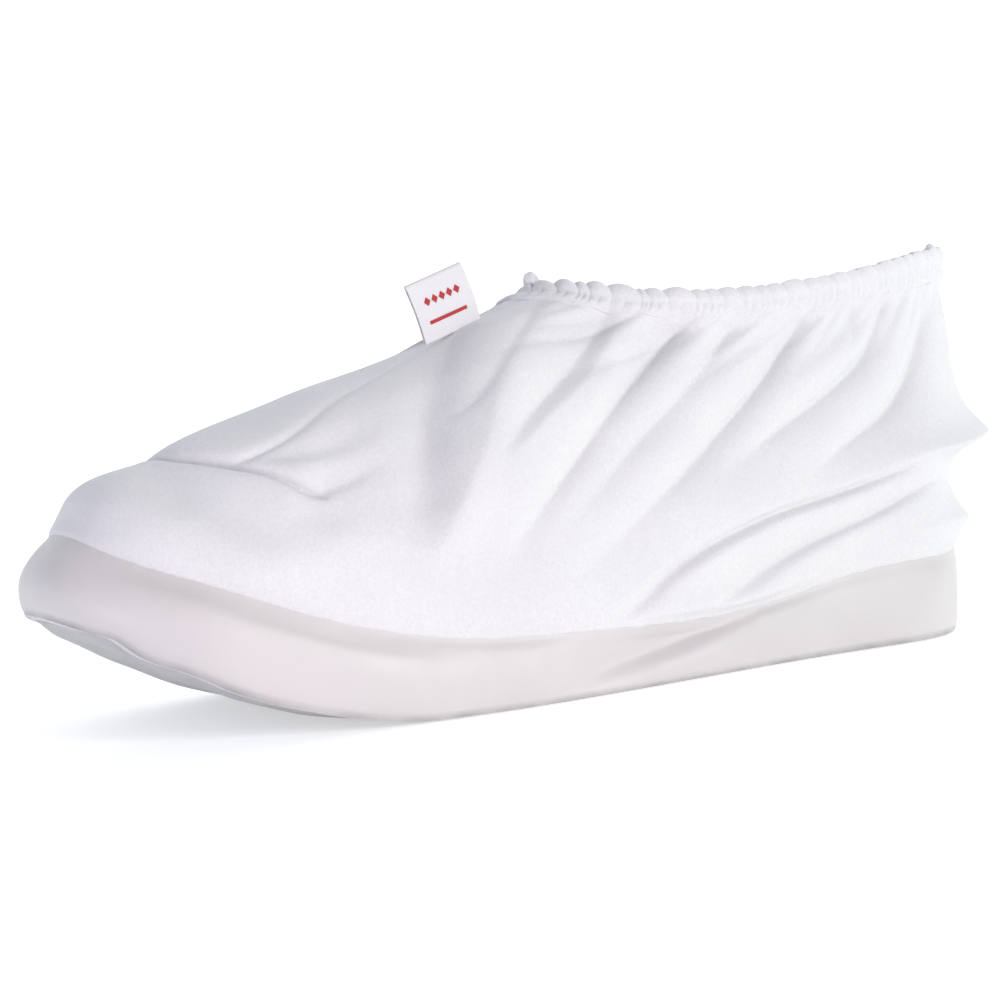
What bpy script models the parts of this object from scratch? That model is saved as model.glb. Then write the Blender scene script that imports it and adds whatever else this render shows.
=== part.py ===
"""A reusable shoe cover: a gathered cloth upper sewn to a soft, wipe-clean sole.

The cover lies along X with its toe at -X and stands on the floor at z = 0. Its form is the same on
both sides of y = 0 and only the folds of its cloth differ, so it goes over a left or a right shoe.
Angles run round the cover: 0 at the toe, 90 on the -Y side, 180 at the heel, 270 on the +Y side.
"""

import math

import bmesh
import bpy
import numpy as np

MM = 0.001
GAP = 0.3 * MM

# Sole plan, as half widths along the length from toe (0) to heel (1)
SOLE_LENGTH = 316 * MM
BALL_WIDTH = 110 * MM
HEEL_WIDTH = 81 * MM
BALL_STATION = 0.34
HEEL_STATION = 0.86
TOE_ROUNDNESS = 2.35
HEEL_ROUNDNESS = 2.3
HEEL_FOLD_REACH = 15 * MM
TOE_X = -(SOLE_LENGTH + HEEL_FOLD_REACH) / 2

# Side profile of the underside, with the stations of its two flat spots
TOE_SPRING = 37 * MM
TOE_CUP = 4 * MM
ARCH_RISE = 2 * MM
HEEL_BEVEL = 2 * MM
FOREFOOT_FLAT = (0.40, 0.54)
HEEL_FLAT = (0.74, 0.92)

# Sole pieces
OUTSOLE_THICKNESS = 2.4 * MM
OUTSOLE_INSET = 5.3 * MM
PIPING_RADIUS = 1.1 * MM
PIPING_INSET = 3.9 * MM
PIPING_HEIGHT = 1.25 * MM
BAND_WALL = 1.6 * MM
BAND_TOE_SETBACK = 9 * MM
BAND_TOE_POWER = 2.8

# Upper and collar
UPPER_WALL = 1.6 * MM
COLLAR_FRONT_STATION = 0.53
COLLAR_BACK_STATION = 1.028
COLLAR_WIDTH = 56 * MM
COLLAR_FAR_DROP = 5 * MM
CASING_HEIGHT = 12 * MM
FRONT_TUFT_RISE = 4 * MM
BACK_TUFT_RISE = 2 * MM
TUFT_WIDTH = 3 * MM
FOLD_HOLD = 0.1
FOLD_FADE_POWER = 0.7
FOLD_DEPTH = 15 * MM

# Label
LABEL_WIDTH = 20 * MM
LABEL_HEIGHT = 18.5 * MM
LABEL_THICKNESS = 0.8 * MM
LABEL_STATION = 0.425
LABEL_ANGLE = math.radians(16)
LABEL_CURL = 1.2 * MM

# Mesh densities
RING_STEPS = 84
UPPER_ROWS = 19
SOLE_STEPS = 72
OUTSOLE_STATIONS = 34
MERIDIAN_STEPS = 65
FOLD_STEPS = 24
LABEL_STEPS = 6
RIDGE_STEPS = 200
OUTLINE_STEP = 0.01
MERGE_DISTANCE = 0.001 * MM
SHARP_ANGLE = math.radians(50)

# Height of the side strip along the sole: station, height in mm
BAND_HEIGHTS = (
    (0.0, 21.5),
    (0.12, 25.0),
    (0.26, 23.0),
    (0.45, 20.0),
    (0.66, 18.5),
    (0.85, 26.0),
    (1.0, 26.5),
)

# Section of the side strip: share of its height, inset from the sole's outline in mm
BAND_SECTION = (
    (0.01, 1.2),
    (0.12, 0.0),
    (0.36, -1.0),
    (0.62, -1.0),
    (0.84, -0.2),
    (1.0, 0.8),
)

# Section of the outsole: place across it from -1 to 1, share of the toe's hang, share of the arch
OUTSOLE_SECTION = (
    (-1.0, 0.0, 0.0),
    (-0.94, 0.6, 0.0),
    (-0.8, 1.0, 0.2),
    (0.0, 1.0, 1.0),
    (0.8, 1.0, 0.2),
    (0.94, 0.6, 0.0),
    (1.0, 0.0, 0.0),
)

# Height of the collar's top edge: angle, height in mm
COLLAR_HEIGHTS = (
    (0, 120.0),
    (30, 120.0),
    (50, 117.0),
    (75, 116.0),
    (105, 119.0),
    (135, 124.0),
    (180, 126.0),
)

# Handles of the upper's meridians in mm. Each meridian leaves the seam upwards and outwards, and
# reaches the collar from in front of it, from below and from outside.
# angle, seam rise, seam lean, collar fore, collar drop, collar out
MERIDIANS = (
    (0, 24, -1, 105, 40, 0),
    (35, 26, 3, 85, 38, 10),
    (70, 34, 5, 45, 40, 14),
    (110, 34, 3, 20, 36, 9),
    (150, 32, 2, 3, 34, 4),
    (180, 30, 2, 0, 34, 3),
)

# Section of the collar casing: share of its height, offset outwards in mm
CASING_SECTION = (
    (0.0, 0.3),
    (0.25, 1.1),
    (0.75, 1.1),
    (1.0, 0.2),
    (1.0, -1.4),
    (0.75, -2.3),
    (0.25, -2.3),
    (0.0, -1.5),
)

# Main folds of the cloth, in mm: a ridge has a positive height and a trough a negative one.
# Each passes through three points, and its skew makes the side to the right of its way steeper.
# name, start, middle, end, half width, height, skew
FOLDS = (
    ("toe_dip", (-131, -34, 66), (-129, 0, 76), (-131, 34, 66), 9, -3, 0),
    ("throat_hollow", (-36, -14, 104), (-56, -38, 78), (-68, -51, 46), 9, -2.5, 0.3),
    ("gather_front", (36, -30, 105), (1, -42, 78), (-40, -53, 45), 9, -2.5, 0),
    ("gather_middle", (90, -31, 109), (47, -42, 76), (6, -50, 46), 9, -4, 0),
    ("gather_back", (119, -27, 104), (86, -36, 81), (52, -43, 62), 8, -3, 0),
    ("far_throat_hollow", (-30, 16, 104), (-52, 39, 78), (-64, 51, 46), 10, -2.5, 0),
    ("far_gather_front", (50, 30, 103), (12, 41, 78), (-26, 52, 46), 9, -3, 0),
    ("far_gather_back", (106, 29, 105), (68, 39, 78), (28, 48, 48), 9, -3.5, 0),
    ("heel_fold_high", (138, 38, 70), (162, -12, 66), (102, -44, 58), 7.5, 12, -0.3),
    ("heel_fold_high_run", (102, -44, 58), (58, -50, 46), (28, -52, 32), 9, 5, -0.3),
    ("heel_fold_low", (140, 34, 38), (155, -10, 37), (118, -42, 36), 7, 6, -0.3),
)


def station_x(station):
    return TOE_X + station * SOLE_LENGTH


def station_of(x):
    return np.clip((x - TOE_X) / SOLE_LENGTH, 0, 1)


def smooth_rows(at, rows, column):
    """Reads a table's column at any place between its rows, with a smooth curve through them."""
    places = np.array([row[0] for row in rows], float)
    values = np.array([row[column] for row in rows], float)
    slopes = np.gradient(values, places)
    slopes[0] = slopes[-1] = 0
    at = np.clip(at, places[0], places[-1])
    left = np.clip(np.searchsorted(places, at, side="right") - 1, 0, len(places) - 2)
    span = places[left + 1] - places[left]
    k = (at - places[left]) / span
    start = values[left] * (1 + 2 * k) * (1 - k) ** 2
    end = values[left + 1] * k**2 * (3 - 2 * k)
    bend = span * k * (1 - k) * (slopes[left] * (1 - k) - slopes[left + 1] * k)
    return start + end + bend


def ring_rows(angles, rows, column):
    """Reads a table by angle, with both sides of the cover alike."""
    degrees = np.degrees(np.asarray(angles, float)) % 360
    return smooth_rows(np.minimum(degrees, 360 - degrees), rows, column)


def half_width(station):
    ball, heel = BALL_WIDTH / 2, HEEL_WIDTH / 2
    ahead = np.clip((BALL_STATION - station) / BALL_STATION, 0, 1)
    toe = ball * (1 - ahead**TOE_ROUNDNESS) ** (1 / TOE_ROUNDNESS)
    along = np.clip((station - BALL_STATION) / (HEEL_STATION - BALL_STATION), 0, 1)
    waist = ball + (heel - ball) * (0.5 - 0.5 * np.cos(math.pi * along))
    behind = np.clip((station - HEEL_STATION) / (1 - HEEL_STATION), 0, 1)
    back = heel * (1 - behind**HEEL_ROUNDNESS) ** (1 / HEEL_ROUNDNESS)
    return np.where(station < BALL_STATION, toe, np.where(station < HEEL_STATION, waist, back))


def sole_edge(station):
    """Height of the sole's lower edge: toe spring, a straight run and the heel's bevel."""
    toe = np.clip((FOREFOOT_FLAT[0] - station) / FOREFOOT_FLAT[0], 0, 1)
    heel = np.clip((station - HEEL_FLAT[1]) / (1 - HEEL_FLAT[1]), 0, 1)
    return TOE_SPRING * toe**2 + HEEL_BEVEL * heel**2


def underside(station, hang_share, arch_share):
    """Height of the outsole's underside.

    Under the toe it hangs below its edge, which wraps up to the seam, and between its two flat
    spots it rises into a low arch.
    """
    toe = np.clip(station / FOREFOOT_FLAT[0], 0, 1)
    arch = np.clip((station - FOREFOOT_FLAT[1]) / (HEEL_FLAT[0] - FOREFOOT_FLAT[1]), 0, 1)
    hang = TOE_CUP * np.sin(math.pi * toe)
    rise = ARCH_RISE * np.sin(math.pi * arch) ** 2
    return np.maximum(sole_edge(station) + arch_share * rise - hang_share * hang, 0)


def outline(angles, inset):
    """Plan points of the sole's outline, moved in along its normal."""
    angles = np.asarray(angles, float)

    def edge(around):
        station = 0.5 - 0.5 * np.cos(around)
        return station_x(station), -np.sign(np.sin(around)) * half_width(station)

    before, after = np.array(edge(angles - OUTLINE_STEP)), np.array(edge(angles + OUTLINE_STEP))
    along = after - before
    along /= np.linalg.norm(along, axis=0)
    x, y = edge(angles)
    return x - along[1] * inset, y + along[0] * inset


def band_point(angles, share, inset):
    """A point on the side strip, at a share of its height."""
    toe = np.maximum(np.cos(angles), 0) ** 2
    x, y = outline(angles, inset + BAND_TOE_SETBACK * toe * share**BAND_TOE_POWER)
    edge_station = 0.5 - 0.5 * np.cos(angles)
    foot = sole_edge(station_of(x)) * (1 - share) + sole_edge(edge_station) * share
    height = smooth_rows(edge_station, BAND_HEIGHTS, 1) * MM
    return np.stack([x, y, foot + share * height], axis=-1)


def collar_point(angles):
    front, back = station_x(COLLAR_FRONT_STATION), station_x(COLLAR_BACK_STATION)
    x = (front + back) / 2 - (back - front) / 2 * np.cos(angles)
    y = -COLLAR_WIDTH / 2 * np.sin(angles)
    far = np.sqrt(np.maximum(-np.sin(angles), 0))
    z = ring_rows(angles, COLLAR_HEIGHTS, 1) * MM - COLLAR_FAR_DROP * far
    return np.stack([x, y, z], axis=-1)


def upper_grid(angles, shares):
    """The upper's smooth form, one row of points for each share of the way up.

    Share 0 is the seam on the side strip, 1 the foot of the collar casing and 2 its top edge.
    """
    seam = band_point(angles, 1.0, BAND_SECTION[-1][1] * MM)
    collar = collar_point(angles)
    seam[:, 2] += GAP
    rise, lean, fore, drop, out = (ring_rows(angles, MERIDIANS, c) * MM for c in range(1, 6))
    x, y = outline(angles, 0)
    wider_x, wider_y = outline(angles, -MM)
    normal = np.stack([wider_x - x, wider_y - y], axis=-1) / MM
    first, second = seam.copy(), collar.copy()
    first[:, :2] += normal * lean[:, None]
    first[:, 2] += rise
    second[:, :2] += normal * out[:, None]
    second[:, 0] -= fore
    second[:, 2] -= drop
    k = np.linspace(0, 1, MERIDIAN_STEPS)[:, None, None]
    path = seam * (1 - k) ** 3 + 3 * first * k * (1 - k) ** 2 + 3 * second * k**2 * (1 - k) + collar * k**3
    steps = np.linalg.norm(np.diff(path, axis=0), axis=2)
    length = np.vstack([np.zeros(len(angles)), np.cumsum(steps, axis=0)])
    grid = np.empty((len(shares), len(angles), 3))
    for column in range(len(angles)):
        whole = length[-1, column]
        wanted = np.interp(shares, [0, 1, 2], [0, whole - CASING_HEIGHT, whole])
        for axis in range(3):
            grid[:, column, axis] = np.interp(wanted, length[:, column], path[:, column, axis])
    return grid


def grid_normals(grid):
    """Outward normals of a grid whose columns go round the cover and whose rows go up."""
    around = np.roll(grid, -1, axis=1) - np.roll(grid, 1, axis=1)
    normals = np.cross(around, np.gradient(grid, axis=0))
    return normals / np.linalg.norm(normals, axis=2, keepdims=True)


def fold_path(start, middle, end):
    """Points and tangents of a smooth line through three points."""
    start, middle, end = (np.array(p, float) * MM for p in (start, middle, end))
    handle = 2 * middle - (start + end) / 2
    k = np.linspace(0, 1, FOLD_STEPS)[:, None]
    points = start * (1 - k) ** 2 + 2 * handle * k * (1 - k) + end * k**2
    tangents = np.gradient(points, axis=0)
    return points, tangents / np.linalg.norm(tangents, axis=1, keepdims=True)


def fold_heights(grid, normals):
    """How far each point of the cloth is pushed out along its normal by the folds.

    Distances are measured along the cloth. A fold's line may lie up to the fold depth off the cloth,
    and past that it counts as further away, so that no fold shows through on the other side.
    """
    push = np.zeros(grid.shape[:2])
    for _, start, middle, end, width, height, skew in FOLDS:
        points, tangents = fold_path(start, middle, end)
        apart = grid[:, :, None, :] - points
        lift = np.einsum("ijkc,ijc->ijk", apart, normals)
        apart -= lift[..., None] * normals[:, :, None, :]
        beyond = np.maximum(np.abs(lift) - FOLD_DEPTH, 0)
        distance = np.hypot(np.linalg.norm(apart, axis=3), beyond)
        nearest = distance.argmin(axis=2)
        away = np.take_along_axis(apart, nearest[..., None, None], axis=2)[:, :, 0]
        side = np.einsum("ijc,ijc->ij", np.cross(tangents[nearest], normals), away)
        half = width * MM * (1 - skew * np.sign(side))
        along = nearest / (FOLD_STEPS - 1)
        fade = np.sin(math.pi * np.clip(along, 0, 1)) ** FOLD_FADE_POWER
        push += height * MM * fade * np.exp(-((distance.min(axis=2) / half) ** 2))
    return push


def upper_surfaces(angles, shares):
    """The outside and inside of the upper with its folds, which the seam and the casing hold flat."""
    grid = upper_grid(angles, shares)
    normals = grid_normals(grid)
    held = np.clip(np.minimum(shares, 1 - shares) / FOLD_HOLD, 0, 1)[:, None]
    outside = grid + normals * (held * fold_heights(grid, normals))[..., None]
    return outside, outside - normals * UPPER_WALL


def material(name, colour, roughness):
    made = bpy.data.materials.new(name)
    made.use_nodes = True
    shader = made.node_tree.nodes["Principled BSDF"]
    shader.inputs["Base Color"].default_value = (*colour, 1)
    shader.inputs["Roughness"].default_value = roughness
    shader.inputs["Metallic"].default_value = 0
    return made


def add_object(name, mesh, finish, parent, collection):
    mesh.shade_smooth()
    mesh.set_sharp_from_angle(angle=SHARP_ANGLE)
    mesh.materials.append(finish)
    obj = bpy.data.objects.new(name, mesh)
    obj.parent = parent
    collection.objects.link(obj)
    return obj


def loft_mesh(name, rows, wrap_columns=True, wrap_rows=False):
    """A mesh through rows of points. Rows that shrink to one point close up as a fan."""
    count, width = rows.shape[:2]
    made = bmesh.new()
    grid = [[made.verts.new(point) for point in row] for row in rows]
    for i in range(count if wrap_rows else count - 1):
        for j in range(width if wrap_columns else width - 1):
            i_next, j_next = (i + 1) % count, (j + 1) % width
            made.faces.new((grid[i][j], grid[i][j_next], grid[i_next][j_next], grid[i_next][j]))
    bmesh.ops.remove_doubles(made, verts=made.verts, dist=MERGE_DISTANCE)
    mesh = bpy.data.meshes.new(name)
    made.to_mesh(mesh)
    made.free()
    return mesh


def add_wall(obj, thickness, offset=-1):
    wall = obj.modifiers.new("wall", "SOLIDIFY")
    wall.thickness = thickness
    wall.offset = offset
    wall.use_even_offset = False


def ring_angles(steps):
    return np.arange(steps) * 2 * math.pi / steps


def make_upper(parent, collection):
    outside, inside = upper_surfaces(ring_angles(RING_STEPS), np.linspace(0, 1, UPPER_ROWS))
    mesh = loft_mesh("upper", np.concatenate([outside, inside[::-1]]), wrap_rows=True)
    add_object("upper", mesh, material("upper_cloth", (0.86, 0.86, 0.89), 0.9), parent, collection)


def make_casing(parent, collection):
    angles = ring_angles(RING_STEPS)
    top = upper_grid(angles, [1 + GAP / CASING_HEIGHT, 1.5, 2])
    normals = grid_normals(top)[1]
    tuft = np.zeros(RING_STEPS)
    for middle, rise in ((0, FRONT_TUFT_RISE), (RING_STEPS // 2, BACK_TUFT_RISE)):
        reach = np.linalg.norm(top[2] - top[2, middle], axis=1)
        tuft += rise * np.exp(-((reach / TUFT_WIDTH) ** 2))
    up = top[2] - top[0]
    rows = []
    for share, offset in CASING_SECTION:
        row = top[0] + up * share + normals * offset * MM
        row[:, 2] += tuft * max(share - 0.5, 0) * 2
        rows.append(row)
    mesh = loft_mesh("collar_casing", np.array(rows), wrap_rows=True)
    add_object("collar_casing", mesh, material("casing_cloth", (0.88, 0.88, 0.90), 0.9), parent, collection)


def make_band(parent, collection):
    angles = ring_angles(SOLE_STEPS)
    rows = [band_point(angles, share, inset * MM) for share, inset in BAND_SECTION]
    mesh = loft_mesh("sole_band", np.array(rows))
    obj = add_object("sole_band", mesh, material("coated_band", (0.83, 0.80, 0.79), 0.5), parent, collection)
    add_wall(obj, BAND_WALL)


def make_outsole(parent, collection):
    angles = np.linspace(0, math.pi, OUTSOLE_STATIONS)
    x, y = outline(angles, OUTSOLE_INSET)
    y[0] = y[-1] = 0
    station = station_of(x)
    columns = []
    for across, hang_share, arch_share in OUTSOLE_SECTION:
        z = underside(station, hang_share, arch_share)
        columns.append(np.stack([x, -y * across, z], axis=-1))
    mesh = loft_mesh("outsole", np.array(columns).transpose(1, 0, 2), wrap_columns=False)
    obj = add_object("outsole", mesh, material("grip_sheet", (0.45, 0.45, 0.46), 0.7), parent, collection)
    add_wall(obj, OUTSOLE_THICKNESS)


def make_piping(parent, collection):
    angles = ring_angles(SOLE_STEPS)
    x, y = outline(angles, PIPING_INSET)
    z = sole_edge(station_of(x)) + PIPING_HEIGHT
    curve = bpy.data.curves.new("sole_piping", "CURVE")
    curve.dimensions = "3D"
    curve.bevel_depth = PIPING_RADIUS
    curve.bevel_resolution = 1
    spline = curve.splines.new("POLY")
    spline.points.add(SOLE_STEPS - 1)
    spline.points.foreach_set("co", np.stack([x, y, z, np.ones(SOLE_STEPS)], axis=-1).ravel())
    spline.use_cyclic_u = True
    curve.materials.append(material("piping", (0.78, 0.76, 0.76), 0.6))
    obj = bpy.data.objects.new("sole_piping", curve)
    obj.parent = parent
    collection.objects.link(obj)


def make_label(parent, collection):
    """A folded square label that stands on the vamp's ridge, square to its slope."""
    ridge = upper_grid(np.array([LABEL_ANGLE]), np.linspace(0, 1, RIDGE_STEPS))[:, 0]
    slope = np.gradient(ridge, axis=0)
    seat = np.argmin(np.abs(ridge[:, 0] - station_x(LABEL_STATION)))
    along = slope[seat, [0, 2]] / np.linalg.norm(slope[seat, [0, 2]])
    up = np.array([-along[1], 0, along[0]])
    rows = []
    for share in np.linspace(0, 1, LABEL_STEPS):
        row = []
        for across in np.linspace(-0.5, 0.5, LABEL_STEPS):
            foot_x = ridge[seat, 0] + across * LABEL_WIDTH * along[0]
            foot_z = np.interp(foot_x, ridge[:, 0], ridge[:, 2])
            foot = np.array([foot_x, ridge[seat, 1] - LABEL_CURL * math.sin(math.pi * share), foot_z])
            row.append(foot + up * (GAP * 2 + share * LABEL_HEIGHT))
        rows.append(row)
    mesh = loft_mesh("size_label", np.array(rows), wrap_columns=False)
    obj = add_object("size_label", mesh, material("label_weave", (0.90, 0.89, 0.88), 0.8), parent, collection)
    add_wall(obj, LABEL_THICKNESS, offset=0)


def main():
    for obj in list(bpy.data.objects):
        bpy.data.objects.remove(obj, do_unlink=True)
    collection = bpy.data.collections.new("shoe_cover")
    bpy.context.scene.collection.children.link(collection)
    origin = bpy.data.objects.new("shoe_cover_origin", None)
    collection.objects.link(origin)
    make_upper(origin, collection)
    make_casing(origin, collection)
    make_band(origin, collection)
    make_outsole(origin, collection)
    make_piping(origin, collection)
    make_label(origin, collection)


main()
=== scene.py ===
"""The looks of a reusable shoe cover: gathered cloth, sewn seams, a coated side strip and a grip sole.

Sizes are in metres, or in mm where a table says so. The cover lies along X with its toe at -X.
Angles run round the cover: 0 at the toe, 90 on the -Y side, 180 at the heel, 270 on the +Y side.
"""

import math

import bmesh
import bpy
import numpy as np
from mathutils import Matrix, Vector


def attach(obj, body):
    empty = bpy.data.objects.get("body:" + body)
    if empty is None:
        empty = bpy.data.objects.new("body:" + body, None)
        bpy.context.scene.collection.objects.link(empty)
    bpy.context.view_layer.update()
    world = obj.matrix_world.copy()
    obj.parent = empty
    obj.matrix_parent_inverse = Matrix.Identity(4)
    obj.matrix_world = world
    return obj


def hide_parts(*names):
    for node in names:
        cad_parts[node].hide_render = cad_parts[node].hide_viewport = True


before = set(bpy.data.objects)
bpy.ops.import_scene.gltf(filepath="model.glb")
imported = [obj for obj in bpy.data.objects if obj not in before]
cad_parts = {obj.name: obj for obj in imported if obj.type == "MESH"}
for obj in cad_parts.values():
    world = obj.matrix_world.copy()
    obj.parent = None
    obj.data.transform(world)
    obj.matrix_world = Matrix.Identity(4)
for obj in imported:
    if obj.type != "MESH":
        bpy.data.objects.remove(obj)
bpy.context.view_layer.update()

MM = 0.001

# Form of the cover, as in the solids
GAP = 0.3 * MM
SOLE_LENGTH = 316 * MM
BALL_WIDTH = 110 * MM
HEEL_WIDTH = 81 * MM
BALL_STATION = 0.34
HEEL_STATION = 0.86
TOE_ROUNDNESS = 2.35
HEEL_ROUNDNESS = 2.3
HEEL_FOLD_REACH = 15 * MM
TOE_X = -(SOLE_LENGTH + HEEL_FOLD_REACH) / 2
TOE_SPRING = 37 * MM
TOE_CUP = 4 * MM
ARCH_RISE = 2 * MM
HEEL_BEVEL = 2 * MM
FOREFOOT_FLAT = (0.40, 0.54)
HEEL_FLAT = (0.74, 0.92)
OUTSOLE_THICKNESS = 2.4 * MM
OUTSOLE_INSET = 5.3 * MM
PIPING_RADIUS = 1.1 * MM
PIPING_INSET = 3.9 * MM
PIPING_HEIGHT = 1.25 * MM
BAND_WALL = 1.6 * MM
BAND_TOE_SETBACK = 9 * MM
BAND_TOE_POWER = 2.8
UPPER_WALL = 1.6 * MM
COLLAR_FRONT_STATION = 0.53
COLLAR_BACK_STATION = 1.028
COLLAR_WIDTH = 56 * MM
COLLAR_FAR_DROP = 5 * MM
CASING_HEIGHT = 12 * MM
LABEL_WIDTH = 20 * MM
LABEL_HEIGHT = 18.5 * MM
LABEL_STATION = 0.425
LABEL_ANGLE = math.radians(16)
LABEL_CURL = 1.2 * MM
LABEL_LEAF = 0.3 * MM
LABEL_SPREAD = 0.5 * MM
LABEL_BORDER = 1.0 * MM
LABEL_BORDER_SHARE = 1.35
LABEL_FOLD = 0.9
LABEL_FOLD_SPAN = 0.1
OUTLINE_STEP = 0.01

# Marks on the label, as shares of its width and height
MARK_LEFT = 0.17
MARK_WIDTH = 0.66
MARK_THICKNESS = 0.16 * MM
MARK_CLEARANCE = 0.02 * MM
DIAMOND_COUNT = 5
DIAMOND_SHARE = 0.64
DIAMOND_HALF = (0.055, 0.075)
STRIPE_SHARES = (0.27, 0.33)
STRIPE_STEPS = 12

# Studs under the sole. The profile is a share of the radius and a share of the height.
TREAD_PITCH = 6.5 * MM
TREAD_RADIUS = 1.7 * MM
TREAD_HEIGHT = 0.5 * MM
TREAD_EDGE = 11 * MM
TREAD_SPAN = (0.3, 0.97)
TREAD_CLEARANCE = 0.02 * MM
STUD_PROFILE = ((1.0, 0.0), (0.92, 0.55), (0.62, 0.9), (0.2, 1.0))
STUD_SIDES = 10

# Meshes: their density, smoothing, welds and sharp edges
UPPER_COLUMNS = 600
UPPER_ROWS = 132
LINING_ROWS = 26
LINING_SMOOTHING = 4
LINING_WINDOW = 3
CREASE_SHARE = 0.28
CREASE_SPAN = 0.16
CREASE_CROWDING = 1.2
NEAR_SIDE_SHARE = 0.35
CASING_COLUMNS = 1200
CASING_SECTION_STEPS = 40
BAND_COLUMNS = 720
BAND_ROWS = 30
OUTSOLE_STATIONS = 300
OUTSOLE_ACROSS = 96
PIPING_COLUMNS = 900
PIPING_SIDES = 12
LABEL_COLUMNS = 44
LABEL_ROWS = 40
KNOT_STEPS = 40
STITCH_RINGS = 7
STITCH_SIDES = 6
MERIDIAN_STEPS = 65
PATH_STEPS = 80
FINE_STEPS = 1000
GATHER_STEPS = 2000
RIDGE_STEPS = 200
CASING_FRAME_ROWS = 12
CASING_SMOOTHING = 6
END_ROW_SHARE = 0.25
WELD_DISTANCE = 0.001 * MM
BAND_SHARP = math.radians(60)
LABEL_SHARP = math.radians(50)
MARK_SHARP = math.radians(40)

# Cloth
SEAM_HOLD = 4 * MM
SEAM_SWELL = 0.15 * MM
SEAM_TUCK = 0.1 * MM
SEAM_LAP = 1 * MM
COLLAR_HOLD = 5 * MM
COLLAR_HELD_SHARE = 0.55
LINE_DEPTH = 15 * MM
TIP_ROUNDING = 0.12
RAMP_ROUNDING = 0.1
FOLD_REACH = 3.5
LEAST_SPREAD = 0.1
EDGE_SAG_START = 20 * MM
FAR_EDGE_SHARE = 0.6
BAND_SAG_SHARE = 0.6
BAND_HOLD = 0.2
BAND_PUCKER = 0.04 * MM
BAND_PUCKER_LEVEL = 1.5
BAND_PUCKER_SPAN = 0.09
BAND_PUCKER_PITCH = 7.3
BAND_PUCKER_DRIFT = 1.9
PIPING_DENT = 0.1
PIPING_DENT_PITCH = 3.6
SOLE_LEAST = 0.05 * MM
SOLE_MOST = OUTSOLE_THICKNESS - 0.4 * MM

# Ripples: size and height of their waves
UPPER_RIPPLES = ((46 * MM, 0.5 * MM), (17 * MM, 0.16 * MM))
BAND_RIPPLE = (40 * MM, 0.35 * MM)
SOLE_RIPPLE = (22 * MM, 0.35 * MM)
RIPPLE_SIZES = (0.7, 1.5)
RIPPLE_SEED = 5

# Gathers at the collar. Lengths and depths are in mm, and the shape is a share of the length,
# a share of the depth and a spread.
GATHER_COUNT = 62
GATHER_JITTER = 0.36
GATHER_LENGTHS = (9, 26)
GATHER_DEPTHS = (0.7, 1.7)
GATHER_SLANTS = (0.2, 0.7)
GATHER_SHAPE = ((0, 1, 0.7), (0.4, 0.8, 1), (1, 0, 1.2))
GATHER_SIDES = (("sharp", 2.2), ("round", 3))
GATHER_MERIDIAN = 90 * MM
GATHER_ROUNDNESS = 0.7
GATHER_SIZES = (0.6, 1.4)
GATHER_SEED = 11

# Collar casing, as shares of its height, with swells and dents in mm
TUBE_MIDDLE = 0.8
TUBE_HALF = 0.22
TUBE_SWELL = 0.9
TUBE_GATHER = 0.55
TUBE_INSIDE = 0.5
TUBE_INSIDE_GATHER = 0.2
CASING_ROUNDNESS = 0.8
CASING_LAP = 0.06
CASING_SWELL = 0.5
CASING_SWELL_SPAN = 0.35
CASING_INSIDE = 1.3
HEM_START = 0.4
HEM_END = (0.04, 0.12)
HEM_PUCKER = 0.6
HEM_PUCKER_LEVEL = 0.3
PUCKER_SPLIT = 0.56
FOOT_TUCK = 0.15
FOOT_TUCK_SPAN = 0.15
RIM_RISE = 0.9
RIM_START = 0.6
RIM_SPAN = 0.4
BACK_SAG = 2.5 * MM
BACK_SAG_SPAN = 0.4
BACK_SAG_LEAN = 0.6
FAR_SAG = 2 * MM

# Stitches on the casing. The pitch is a multiple of a stitch's length.
STITCH_SHARE = 0.56
STITCH_DENT = 0.4
STITCH_DENT_SPAN = 0.05
STITCH_LENGTH = 2.2 * MM
STITCH_RADIUS = 0.2 * MM
STITCH_LIFT = 0.3 * MM
STITCH_PITCH = 1.45
STITCH_START = 0.1
STITCH_BOW = 1.6
STITCH_TIP = 0.02

# Knots at the casing's seams, as shares of their radius
FRONT_KNOT = 2.6 * MM
BACK_KNOT = 1.8 * MM
KNOT_SHAPE = (0.95, 0.8, 1.15)
KNOT_LOBES = 3
KNOT_LOBE = 0.13
KNOT_RIB = 0.06
KNOT_LIFT = 0.7
KNOT_SAG_LEAN = 0.4
KNOT_POLE = 0.02

# Colours: light and shade
UPPER_COLOURS = ((0.622, 0.622, 0.622), (0.602, 0.602, 0.607))
CASING_COLOURS = ((0.62, 0.62, 0.621), (0.595, 0.595, 0.601))
THREAD_COLOURS = ((0.62, 0.62, 0.62), (0.52, 0.52, 0.53))
COATED_COLOURS = ((0.517, 0.498, 0.49), (0.486, 0.469, 0.464))
PIPING_COLOURS = ((0.62, 0.61, 0.61), (0.5, 0.5, 0.5))
SOLE_COLOURS = ((0.41, 0.407, 0.412), (0.33, 0.33, 0.335))
STUD_COLOURS = ((0.55, 0.55, 0.56), (0.42, 0.42, 0.43))
LABEL_COLOURS = ((0.62, 0.615, 0.62), (0.565, 0.565, 0.575))
MARK_COLOURS = ((0.42, 0.02, 0.03), (0.33, 0.012, 0.02))
FLOOR_COLOURS = ((0.95, 0.95, 0.955), (0.93, 0.93, 0.935))
FLOOR_BASE = (0.95, 0.95, 0.95)
FLOOR_GLOW = (0.98, 1, 0.99, 1)
# Dirt and painted shade at the side strip's floor edge
GRIME_AND_SHADE_COLOUR = (0.27, 0.265, 0.262)

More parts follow.
